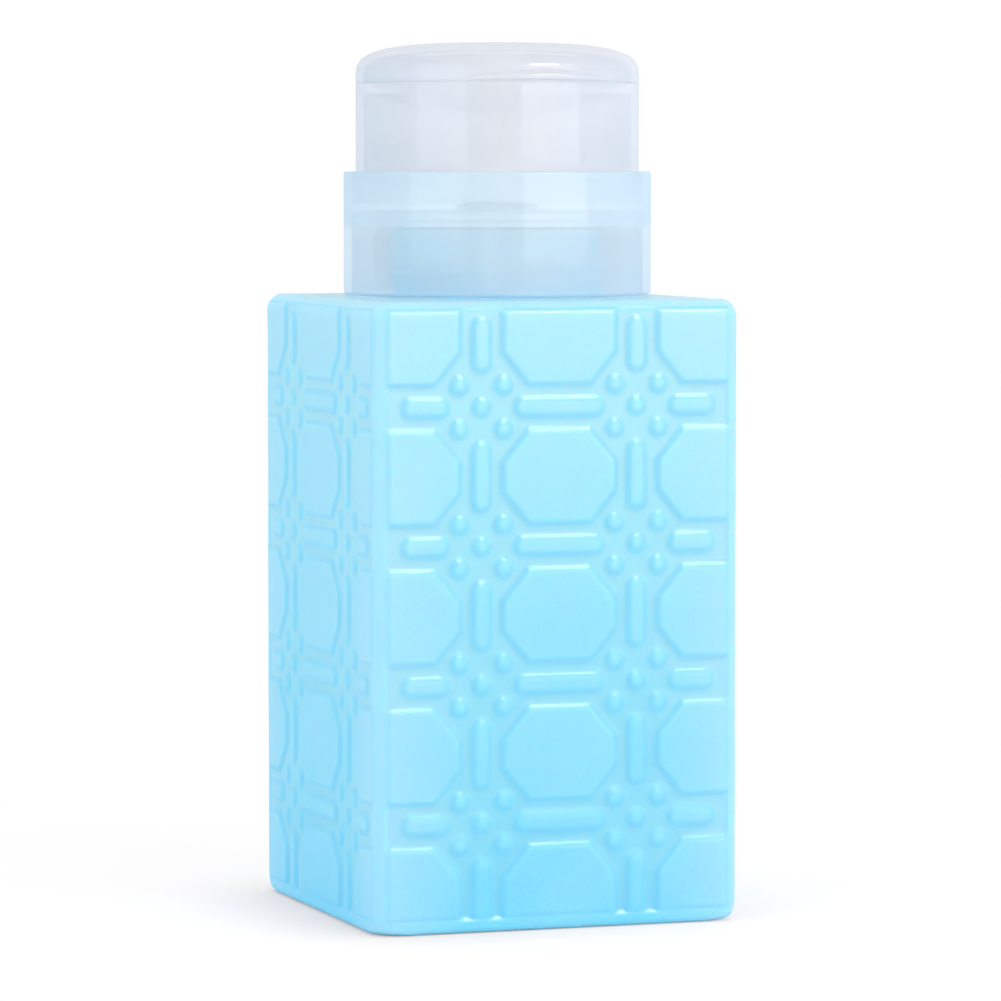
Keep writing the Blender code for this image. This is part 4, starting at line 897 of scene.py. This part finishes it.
class BuildRemoverBottle(RemoverOperator):
    """Build the square bottle with its moulded lattice and screw neck"""
    bl_idname = "object.remover_bottle"
    bl_label = "Bottle"

    def execute(self, context):
        settings = self.settings(context, "bottle")
        shell = smooth(RemoverBottleShell(settings).build(), 50)
        finish_piece(shell, "bottle", frosted_blue_finish(settings), "frosted_blue", "bottle")
        return {"FINISHED"}


# Screw collar

DECK_DROP = 1.8 * MM            # from the chaplet's top down to the deck's
SLEEVE_ROWS = 40                # rows of points that carry the sleeve's thread
SLEEVE_THREAD_START = 0.9 * MM  # from the sleeve's foot up to the thread's start
SLEEVE_THREAD_WIDTH = 0.7 * MM  # half width at the thread's foot
SLEEVE_THREAD_END = 1.2 * MM    # from the deck's underside down to the thread's end
SLEEVE_STEEPNESS = 1.6
CLEAR_BAND = 0.6 * MM           # height above the neck over which the shroud's clearness fades

# How clear each part of the collar is, from 0 to 1
CLEAR_SHROUD, CLEAR_INSIDE, CLEAR_SEAM, CLEAR_SLEEVE = 0.30, 0.55, 0.5, 1.0


class BuildRemoverCollar(RemoverOperator):
    """Build the screw collar with its shroud, deck and screw sleeve"""
    bl_idname = "object.remover_collar"
    bl_label = "Screw collar"

    def execute(self, context):
        s = self.settings(context, "collar")
        pitch = self.settings(context, "bottle").thread_pitch
        radius, low, high = COLLAR_HIGH.y, COLLAR_LOW.z, COLLAR_HIGH.z
        inside = radius - s.wall
        deck_top = CHAPLET_TOP - DECK_DROP
        deck_under = deck_top - s.deck_thickness
        sleeve_low = low + s.sleeve_lift
        sleeve_out = s.sleeve_radius + s.sleeve_wall
        sleeve = [(s.sleeve_radius, z, 0.0) for z in
                  np.linspace(deck_under - 0.5 * MM, sleeve_low + 0.4 * MM, SLEEVE_ROWS)]
        neck = BOTTLE_HIGH.z
        shroud = [(radius, neck + k * 0.2 * MM, 0.0) for k in range(-1, 5)]
        outline = [(inside, low, SOFT), (radius, low, s.foot_radius)] + shroud
        outline += [(radius, high, s.rim_radius), (inside, high, s.rim_radius),
                    (inside, deck_top, FULL), (s.deck_hole, deck_top, FINE),
                    (s.deck_hole, deck_under, FINE),
                    (s.sleeve_radius, deck_under, SOFT)]
        outline += sleeve
        outline += [(s.sleeve_radius, sleeve_low, LIGHT), (sleeve_out, sleeve_low, SOFT),
                    (sleeve_out, deck_under, SOFT), (inside, deck_under, SOFT)]

        def thread(angles, z):
            turn = np.mod(angles, math.tau)
            depth = np.zeros(len(angles))
            for k in range(3):
                line = sleeve_low + SLEEVE_THREAD_START + (turn / math.tau + k) * pitch
                near = np.clip(1 - np.abs(z - line) / SLEEVE_THREAD_WIDTH, 0, 1)
                depth = np.maximum(depth, near)
            fade = np.clip((deck_under - SLEEVE_THREAD_END - z) / MM, 0, 1)
            return -s.thread_height * fade * np.minimum(depth * SLEEVE_STEEPNESS, 1)

        def in_sleeve(r, z):
            return abs(r - s.sleeve_radius) < 0.01 * MM and z < deck_under - 0.4 * MM

        collar = turned_piece("collar_shell", outline, 160, 4, thread, in_sleeve)
        smooth(collar, 40)
        layer = collar.data.attributes.new("clear", "FLOAT", "POINT")
        for vert, value in zip(collar.data.vertices, layer.data):
            x, y, z = vert.co
            out = vert.co.xy.length
            if out > inside - 0.6 * MM:
                value.value = CLEAR_SHROUD * min(max((neck + CLEAR_BAND - z) / CLEAR_BAND, 0.0), 1.0)
                if out < inside + 0.1 * MM and z < high - 0.5 * MM:
                    value.value = CLEAR_INSIDE
            else:
                seam = abs(math.atan2(y, x) - s.seam_angle) < s.seam_half_angle
                value.value = CLEAR_SEAM if seam else CLEAR_SLEEVE
        finish = finish_named("milky_collar_plastic", milky_collar_finish, s)
        finish_piece(collar, "collar", finish, "milky_white", "screw_collar")
        return {"FINISHED"}


# Press head

HUB_RISE = 3.9 * MM             # from the chaplet's top up to the hub's foot
CHANNEL_RADIUS = 1.6 * MM       # bore under the nozzle
JET_RADIUS = 0.9 * MM           # bore from the stem's socket to the nozzle
DISH_SHARES = (0.85, 0.7, 0.55, 0.4)
UNDERSIDE_SHARES = (0.4, 0.6, 0.8)
RIB_COUNT = 6
LUG_TOP_DROP = 0.3 * MM         # from the land down to the lugs' shoulder
LUG_ROOT_SHARE = 0.7            # share of the skirt's wall that the lugs reach into
EYE_STEPS, EYE_START, EYE_SPAN = 24, 180, 200   # round end of the lugs, in degrees


class BuildRemoverHead(RemoverOperator):
    """Build the press head with its pad dish, hub, ribs and hinge lugs"""
    bl_idname = "object.remover_head"
    bl_label = "Press head"

    def execute(self, context):
        s = self.settings(context, "head")
        lid = self.settings(context, "lid")
        radius = -HEAD_LOW.y
        low = HEAD_LOW.z
        land = HEAD_HIGH.z - s.rim_height
        rim_top = HEAD_HIGH.z
        inside = radius - s.wall
        rim = radius - s.rim_gap
        rim_in = rim - s.rim_width
        middle = land - s.dish_depth

        def dish(r):
            return middle + s.dish_rise * (r / rim_in) ** 2

        seat = middle - s.cap_sink
        channel = CAP_LOW.z - CLEARANCE
        socket = STEM_TOP + CLEARANCE
        hub_low = CHAPLET_TOP + HUB_RISE
        shelf = land - s.land_drop
        outline = [(inside, low, SOFT), (radius, low, FULL), (radius, shelf, CRISP),
                   (rim, shelf, FINE), (rim, rim_top, MEDIUM),
                   (rim_in, rim_top, MEDIUM), (rim_in, dish(rim_in), WIDE)]
        for share in DISH_SHARES:
            outline.append((rim_in * share, dish(rim_in * share), 0.0))
        outline += [(s.cap_seat, dish(s.cap_seat), 0.12 * MM), (s.cap_seat, seat, CRISP),
                    (CHANNEL_RADIUS, seat, 0.08 * MM), (CHANNEL_RADIUS, channel, 0.08 * MM),
                    (JET_RADIUS, channel, 0.06 * MM), (JET_RADIUS, socket, 0.06 * MM),
                    (s.hub_bore, socket, CRISP), (s.hub_bore, hub_low, MEDIUM),
                    (s.hub_radius, hub_low, MEDIUM),
                    (s.hub_radius, dish(s.hub_radius) - s.dish_thickness, FULL)]
        for share in UNDERSIDE_SHARES:
            outline.append((inside * share, dish(inside * share) - s.dish_thickness, 0.0))
        outline.append((inside, dish(inside) - s.dish_thickness, WIDE))
        head = turned_piece("press_head_shell", outline, 144, 4)
        self.add_ribs(head, s, dish, middle - s.dish_thickness / 2, radius - s.wall / 2)
        self.add_lugs(head, lid, radius - s.wall * LUG_ROOT_SHARE, land)
        smooth(head, 32)
        finish_piece(head, "head", finish_named("milky_plastic", milky_finish, s),
                     "milky_white", "press_head")
        return {"FINISHED"}

    def add_ribs(self, head, s, dish, top, end):
        """Ribs under the dish, from the hub to the skirt."""
        start = (s.hub_bore + s.hub_radius) / 2
        depth = top - s.dish_thickness / 2 - s.rib_depth
        profile = [(start, depth), (end, depth), (end, dish(end) - s.dish_thickness / 2),
                   (start, top)]
        for k in range(RIB_COUNT // 2):
            for side in (0, math.pi):
                place = upright(math.tau * (k + 0.5) / RIB_COUNT + side)
                rib = plate_shape("rib", profile, -s.rib_thickness / 2, s.rib_thickness / 2, place)
                merge_shape(head, rib)

    def add_lugs(self, head, lid, root, land):
        """Hinge lugs at the back, with the bore for the pin."""
        eye = []
        for step in range(EYE_STEPS + 1):
            a = math.radians(EYE_START - EYE_SPAN * step / EYE_STEPS)
            eye.append((HINGE_Y + lid.knuckle_radius * math.cos(a),
                        HINGE_Z + lid.knuckle_radius * math.sin(a)))
        gusset = [(root, land - lid.lug_drop), (root, land - LUG_TOP_DROP),
                  (HINGE_Y - lid.knuckle_radius, land - LUG_TOP_DROP)] + eye
        for side in (-1, 1):
            near = side * (lid.knuckle_length / 2 + CLEARANCE)
            far = near + side * lid.lug_thickness
            merge_shape(head, plate_shape("lug", gusset, near, far, sideways))
        reach = lid.knuckle_length / 2 + lid.lug_thickness + MM
        bore = rod_shape("bore", PIN_BORE, (-reach, HINGE_Y, HINGE_Z), (reach, HINGE_Y, HINGE_Z))
        merge_shape(head, bore, "DIFFERENCE")


# Flip lid

DOME_RISE = 0.3 * MM            # from the head's land up to the foot of the dome
LIP_DROP = 0.3 * MM             # from the head's land down to the thumb lip's foot
LIP_ROOT = 0.7 * MM             # how deep the thumb lip reaches into the lid's side
LIP_STEPS = 56
LIP_END_SHARE = 0.995           # of its half angle, so that the ends keep some thickness
LIP_BACK_SHARES = ((1.0, 0.46), (0.97, 0.52), (0.90, 0.55), (0.45, 0.68), (0.12, 0.86))
POST_ROUND = 0.6 * MM           # from the seal post to where the inner dome starts
SEAL_SHOWS = 1.5 * MM           # how far the seal stands out of its post
WEB_RISE = 2.4 * MM             # height of the web between lid and knuckle


class BuildRemoverLid(RemoverOperator):
    """Build the domed flip lid with its seal post, thumb lip and hinge knuckle"""
    bl_idname = "object.remover_lid"
    bl_label = "Flip lid"

    def execute(self, context):
        s = self.settings(context, "lid")
        radius = -HEAD_LOW.y
        head = self.settings(context, "head")
        land = HEAD_HIGH.z - head.rim_height
        foot = land - head.land_drop + s.parting
        base = land + DOME_RISE
        height = LID_TOP - base
        power = 2 / s.shoulder_power

        def dome(r, h, steps, first=0):
            points = [(r * max(cosine, 0.0) ** power, base + h * sine ** power, 0.0)
                      for sine, cosine in quarter(steps, first)]
            points[-1] = (0.0, points[-1][1], 0.0)
            return points

        crown = base + height - s.crown_wall
        post_low = SEAL_FOOT + SEAL_SHOWS
        inner = [p for p in dome(radius - s.wall, height - s.crown_wall, 26)
                 if p[0] > s.post_radius + POST_ROUND]
        outline = [(0.0, crown, 0.0), (s.post_bore, crown, SOFT),
                   (s.post_bore, post_low, LIGHT), (s.post_radius, post_low, LIGHT),
                   (s.post_radius, crown, WIDE)]
        outline += inner[:0:-1]
        outline += [(radius - s.wall, base, 0.0), (radius - s.wall, foot, FINE),
                    (radius, foot, 0.08 * MM), (radius, base, 0.0)]
        outline += dome(radius, height, 40, 1)
        lid = turned_piece("flip_lid_shell", outline, 144, 3)
        merge_shape(lid, self.thumb_lip(s, radius, land - LIP_DROP))

        half = s.knuckle_length / 2
        root = radius - s.wall / 2
        web = [(root, base), (HINGE_Y, base), (HINGE_Y, HINGE_Z + s.knuckle_radius - 0.3 * MM),
               (root, base + WEB_RISE)]
        merge_shape(lid, plate_shape("web", web, -half, half, sideways))
        merge_shape(lid, rod_shape("knuckle", s.knuckle_radius, (-half, HINGE_Y, HINGE_Z),
                                   (half, HINGE_Y, HINGE_Z), 40))
        merge_shape(lid, rod_shape("bore", PIN_BORE, (-half - MM, HINGE_Y, HINGE_Z),
                                   (half + MM, HINGE_Y, HINGE_Z)), "DIFFERENCE")
        smooth(lid, 32)
        finish_piece(lid, "lid", finish_named("milky_plastic", milky_finish, head),
                     "milky_white", "flip_lid")
        return {"FINISHED"}

    def thumb_lip(self, s, radius, base):
        """Crescent at the lid's front edge, with a rounded nose and tapered ends."""
        nose = [(0.75 + 0.25 * sine, 0.25 - 0.25 * cosine) for sine, cosine in quarter(4)]
        rows = []
        for k in range(LIP_STEPS + 1):
            share = (2 * k / LIP_STEPS - 1) * LIP_END_SHARE
            turn = -math.pi / 2 + s.lip_half_angle * share
            swell = math.cos(math.pi / 2 * share)
            reach = s.lip_reach * swell ** 0.8
            rise = s.lip_height * swell ** 0.5
            section = [(radius - LIP_ROOT, base)]
            section += [(radius + reach * out, base + rise * up)
                        for out, up in (*nose, *LIP_BACK_SHARES)]
            section += [(radius - 0.1 * MM, base + rise), (radius - LIP_ROOT, base + rise)]
            rows.append([(r * math.cos(turn), r * math.sin(turn), z) for r, z in section])
        lip = grid_piece("thumb_lip", rows, np.mean(rows[0], axis=0), np.mean(rows[-1], axis=0))
        bm = bmesh.new()
        bm.from_mesh(lip.data)
        bpy.data.objects.remove(lip, do_unlink=True)
        return solid_from("thumb_lip", bm)


# Outlet nozzle

NOZZLE_BORE = 0.6 * MM
NOZZLE_FOOT = 1.3 * MM          # radius of the part that sits in the head's channel
NOZZLE_RIM = 1.0 * MM           # height of the part that shows in the dish
SLOT_REACH = 4 * MM             # beyond the nozzle's edge, so that the slots are open
SLOT_DEPTH = 0.4 * MM
SLOT_HALF_WIDTH = 0.3 * MM


class BuildRemoverNozzle(RemoverOperator):
    """Build the outlet nozzle with its crossed slots"""
    bl_idname = "object.remover_nozzle"
    bl_label = "Outlet nozzle"

    def execute(self, context):
        radius = CAP_HIGH.x
        low, high = CAP_LOW.z, CAP_HIGH.z
        land = high - NOZZLE_RIM
        outline = [(NOZZLE_BORE, low, 0.05 * MM), (NOZZLE_FOOT, low, FINE),
                   (NOZZLE_FOOT, land, 0.05 * MM), (radius, land, CRISP),
                   (radius, high, 0.35 * MM), (NOZZLE_BORE, high, 0.12 * MM)]
        cap = turned_piece("outlet_nozzle", outline, 72, 4)
        profile = [(-SLOT_REACH, high - SLOT_DEPTH), (SLOT_REACH, high - SLOT_DEPTH),
                   (SLOT_REACH, high + MM), (-SLOT_REACH, high + MM)]
        for turn in (0, math.pi / 2):
            slot = plate_shape("slot", profile, -SLOT_HALF_WIDTH, SLOT_HALF_WIDTH, upright(turn))
            merge_shape(cap, slot, "DIFFERENCE")
        smooth(cap, 30)
        pump = self.settings(context, "pump")
        finish_piece(cap, "head", finish_named("natural_plastic", natural_finish, pump),
                     "natural_plastic", "outlet_cap")
        return {"FINISHED"}


# Return spring and inner parts

WIRE_STEPS = 28                 # points of the wire in one turn


class BuildRemoverSpring(RemoverOperator):
    """Wind the return spring"""
    bl_idname = "object.remover_spring"
    bl_label = "Return spring"

    def execute(self, context):
        s = self.settings(context, "pump")
        wire = s.wire_radius
        radius = SPRING_HIGH.x - wire
        low, high = SPRING_LOW.z + wire, SPRING_HIGH.z - wire
        curve = bpy.data.curves.new("spring_wire", "CURVE")
        curve.dimensions = "3D"
        curve.bevel_depth = wire
        curve.bevel_resolution = 3
        curve.use_fill_caps = True
        spline = curve.splines.new("POLY")
        count = s.spring_turns * WIRE_STEPS
        spline.points.add(count)
        for k, point in enumerate(spline.points):
            turn = math.tau * k / WIRE_STEPS
            point.co = (radius * math.cos(turn), radius * math.sin(turn),
                        low + (high - low) * (k / count), 1)
        spring = bpy.data.objects.new("spring_wire", curve)
        context.scene.collection.objects.link(spring)
        graph = context.evaluated_depsgraph_get()
        mesh = bpy.data.meshes.new_from_object(spring.evaluated_get(graph))
        wound = bpy.data.objects.new("spring_coil", mesh)
        context.scene.collection.objects.link(wound)
        bpy.data.objects.remove(spring, do_unlink=True)
        bpy.data.curves.remove(curve)
        smooth(wound, 60)
        finish_piece(wound, "pump", finish_named("stainless_steel", steel_finish, s),
                     "steel", "return_spring")
        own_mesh(wound)
        return {"FINISHED"}


class FinishRemoverInnerParts(RemoverOperator):
    """Give the CAD pieces of the inner pump their finishes"""
    bl_idname = "object.remover_inner_parts"
    bl_label = "Inner pump finishes"

    def execute(self, context):
        s = self.settings(context, "pump")
        natural = finish_named("natural_plastic", natural_finish, s)
        seal = finish_named("soft_seal", seal_finish, s)
        steel = finish_named("stainless_steel", steel_finish, s)
        finishes = {"pump_housing": natural, "chaplet": natural, "ball_cage": natural,
                    "dip_tube": natural, "stem": natural, "piston_foot": natural,
                    "piston": natural, "neck_gasket": seal, "lid_seal": seal,
                    "inlet_ball": steel, "outlet_ball": steel, "hinge_pin": steel}
        for name, material in finishes.items():
            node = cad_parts[name]
            for slot in node.material_slots:
                slot.material = material
        return {"FINISHED"}


# Studio

FLOOR_RADIUS = 4.0
FLOOR_DROP = 0.05 * MM          # keeps the floor clear of the bottle's foot
FLOOR_SEEN = (0.50, 0.43, 0.40, 1)      # what the camera sees of it near the object
FLOOR_LIT = (0.90, 0.90, 0.90, 1)       # what throws light back at the object
FLOOR_GLOW = 0.60
FADE_START, FADE_END = 0.06, 0.15       # where the seen floor turns white, from the axis
PAINTED_SHADOW_REACH = 18 * MM         # how far the shade under the foot runs out
# Colour of the painted shadow that the floor's glow takes on round the foot
PAINTED_SHADOW_TINT = (0.54, 0.44, 0.40)
SKY = (0.97, 0.98, 1.0, 1)


class BuildRemoverStage(RemoverOperator):
    """Set the pale floor, the soft light and the camera"""
    bl_idname = "object.remover_stage"
    bl_label = "Studio"

    def execute(self, context):
        s = self.settings(context, "stage")
        scene = context.scene
        scene.view_settings.view_transform = "Standard"
        self.floor()
        self.world(scene, s.ambient)
        camera_angle = math.degrees(s.azimuth)
        left = self.softbox("left_softbox", camera_angle + 46.7, distance=0.9, width=0.71,
                            height=0.8, centre=0.4, light=0.75 * s.softbox_light)
        left.data.color = (0.87, 0.98, 1.0)
        self.softbox("right_softbox", camera_angle - 44.5, distance=0.9, width=0.84,
                     height=0.8, centre=0.4, light=s.softbox_light)
        for name, turn, share in (("left_fill", 95, 1.0), ("right_fill", -95, 1.0),
                                  ("back_fill", 180, 0.35)):
            fill = self.softbox(name, camera_angle + turn, distance=0.9, width=0.35,
                                height=0.8, centre=0.4, light=share * s.fill_light)
            fill.data.color = s.fill_colour
            fill.visible_glossy = False
        top = self.lamp("top_softbox", width=0.7, height=0.5, light=1.5)
        top.location = (0.0, -0.15, 1.1)
        top.rotation_euler = (math.radians(-8), 0, 0)
        top.visible_glossy = False
        back = self.softbox("back_softbox", camera_angle + 180, distance=0.62, width=0.8,
                            height=0.16, centre=1.0, light=3.0)
        self.aim(back, LID_TOP)
        edge = self.softbox("edge_softbox", camera_angle - 42.3, distance=0.84, width=0.4,
                            height=0.2, centre=0.65, light=s.edge_light)
        self.aim(edge, 0.05)
        edge.visible_diffuse = False
        self.camera(scene, s)
        return {"FINISHED"}

    def lamp(self, name, width, height, light):
        """A rectangular lamp whose power goes with its area."""
        data = bpy.data.lights.new(name, "AREA")
        data.shape = "RECTANGLE"
        data.size, data.size_y = width, height
        data.energy = light * math.pi * width * height
        lamp = bpy.data.objects.new(name, data)
        bpy.context.scene.collection.objects.link(lamp)
        return lamp

    def softbox(self, name, turn, distance, width, height, centre, light):
        """An upright softbox, its turn in degrees from the front towards the left."""
        box = self.lamp(name, width, height, light)
        a = math.radians(turn)
        box.location = (-math.sin(a) * distance, -math.cos(a) * distance, centre)
        self.aim(box, centre)
        return box

    def aim(self, lamp, height):
        """Turn a lamp towards a point at this height on the object's axis."""
        away = lamp.location - Vector((0, 0, height))
        lamp.rotation_euler = away.to_track_quat("Z", "Y").to_euler()

    def floor(self):
        """A pale floor that keeps the object's shadow and is white to the camera elsewhere; near the
        foot its glow also carries a painted shadow, stronger on the left.
        """
        bm = bmesh.new()
        bmesh.ops.create_circle(bm, cap_ends=True, segments=96, radius=FLOOR_RADIUS)
        floor = solid_from("studio_floor", bm)
        floor.location.z = -FLOOR_DROP
        material = bpy.data.materials.new("studio_floor")
        material.use_nodes = True
        tree = material.node_tree
        tree.nodes.clear()
        place = add_node(tree, "ShaderNodeTexCoord").outputs["Object"]
        across = add_node(tree, "ShaderNodeSeparateXYZ", {0: place}).outputs["X"]
        away = add_node(tree, "ShaderNodeVectorMath", {0: place}, operation="LENGTH")
        fade = add_node(tree, "ShaderNodeMapRange",
                        {"Value": away.outputs["Value"], "From Min": FADE_START,
                         "From Max": FADE_END}, interpolation_type="SMOOTHSTEP")
        # Painted shadow: the glow darkens where the object occludes the floor, more on the left than
        # on the right
        contact = add_node(tree, "ShaderNodeAmbientOcclusion", {"Distance": PAINTED_SHADOW_REACH})
        hidden = maths(tree, "SUBTRACT", 1.0, contact.outputs["AO"])
        painted_shadow = maths(tree, "MULTIPLY", hidden, mapped(tree, across, 1.0, 0.35, -0.03, 0.02))
        tint = mixed(tree, painted_shadow, (1.0, 1.0, 1.0), PAINTED_SHADOW_TINT)
        seen = add_node(tree, "ShaderNodeBsdfDiffuse", {"Color": FLOOR_SEEN})
        glow = add_node(tree, "ShaderNodeEmission", {"Color": tint, "Strength": FLOOR_GLOW})
        near = add_node(tree, "ShaderNodeAddShader", {0: seen.outputs[0], 1: glow.outputs[0]})
        white = add_node(tree, "ShaderNodeEmission")
        shown = add_node(tree, "ShaderNodeMixShader", {"Fac": fade.outputs["Result"],
                                                       1: near.outputs[0], 2: white.outputs[0]})
        lit = add_node(tree, "ShaderNodeBsdfDiffuse", {"Color": FLOOR_LIT})
        path = add_node(tree, "ShaderNodeLightPath")
        both = add_node(tree, "ShaderNodeMixShader", {"Fac": path.outputs["Is Camera Ray"],
                                                      1: lit.outputs[0], 2: shown.outputs[0]})
        add_node(tree, "ShaderNodeOutputMaterial", {"Surface": both.outputs[0]})
        floor.data.materials.append(material)

    def world(self, scene, ambient):
        """White to the camera and to reflections, softer as a light."""
        world = bpy.data.worlds.new("studio")
        scene.world = world
        world.use_nodes = True
        tree = world.node_tree
        tree.nodes.clear()
        path = add_node(tree, "ShaderNodeLightPath")
        direct = maths(tree, "MAXIMUM", path.outputs["Is Camera Ray"], path.outputs["Is Glossy Ray"])
        plain = maths(tree, "MAXIMUM", direct, path.outputs["Is Transmission Ray"])
        light = add_node(tree, "ShaderNodeBackground", {"Color": SKY, "Strength": ambient})
        white = add_node(tree, "ShaderNodeBackground", {"Color": (1, 1, 1, 1), "Strength": 1.0})
        choose = add_node(tree, "ShaderNodeMixShader", {"Fac": plain, 1: light.outputs[0],
                                                        2: white.outputs[0]})
        add_node(tree, "ShaderNodeOutputWorld", {"Surface": choose.outputs[0]})

    def camera(self, scene, s):
        """A long lens at the height of the collar, a little left of the front."""
        data = bpy.data.cameras.new("studio_camera")
        data.sensor_width = 36
        data.lens = s.lens
        data.clip_start = 0.05
        data.clip_end = 20
        camera = bpy.data.objects.new("studio_camera", data)
        side = Vector((math.cos(s.azimuth), -math.sin(s.azimuth), 0))
        look = Vector((math.sin(s.azimuth) * math.cos(s.pitch),
                       math.cos(s.azimuth) * math.cos(s.pitch), -math.sin(s.pitch)))
        camera.location = Vector((0, 0, s.aim_height)) + side * s.aim_side - look * s.distance
        camera.rotation_euler = look.to_track_quat("-Z", "Y").to_euler()
        scene.collection.objects.link(camera)
        scene.camera = camera


STEPS = (BuildRemoverStage, BuildRemoverBottle, BuildRemoverCollar, BuildRemoverHead,
         BuildRemoverLid, BuildRemoverNozzle, BuildRemoverSpring, FinishRemoverInnerParts)
SETTINGS = {"bottle": RemoverBottleSettings, "collar": RemoverCollarSettings,
            "head": RemoverHeadSettings, "lid": RemoverLidSettings,
            "pump": RemoverPumpSettings, "stage": RemoverStageSettings}


# Panel and registration

class RemoverPumpPanel(bpy.types.Panel):
    """Lists the pieces of the remover pump and their settings"""
    bl_idname = "VIEW3D_PT_remover_pump"
    bl_label = "Remover Pump"
    bl_space_type = "VIEW_3D"
    bl_region_type = "UI"
    bl_category = "Remover Pump"

    def draw(self, context):
        for step in STEPS:
            self.layout.operator(step.bl_idname)
        for name, group in SETTINGS.items():
            box = self.layout.box()
            box.label(text=group.__doc__)
            for field in group.__annotations__:
                box.prop(getattr(context.scene, "remover_" + name), field)


def register():
    for group in SETTINGS.values():
        bpy.utils.register_class(group)
    for step in STEPS:
        bpy.utils.register_class(step)
    bpy.utils.register_class(RemoverPumpPanel)
    for name, group in SETTINGS.items():
        setattr(bpy.types.Scene, "remover_" + name, PointerProperty(type=group))


def unregister():
    for name in SETTINGS:
        delattr(bpy.types.Scene, "remover_" + name)
    bpy.utils.unregister_class(RemoverPumpPanel)
    for step in reversed(STEPS):
        bpy.utils.unregister_class(step)
    for group in SETTINGS.values():
        bpy.utils.unregister_class(group)


def main():
    register()
    for step in STEPS:
        group, name = step.bl_idname.split(".")
        getattr(getattr(bpy.ops, group), name)()


if __name__ == "__main__":
    main()
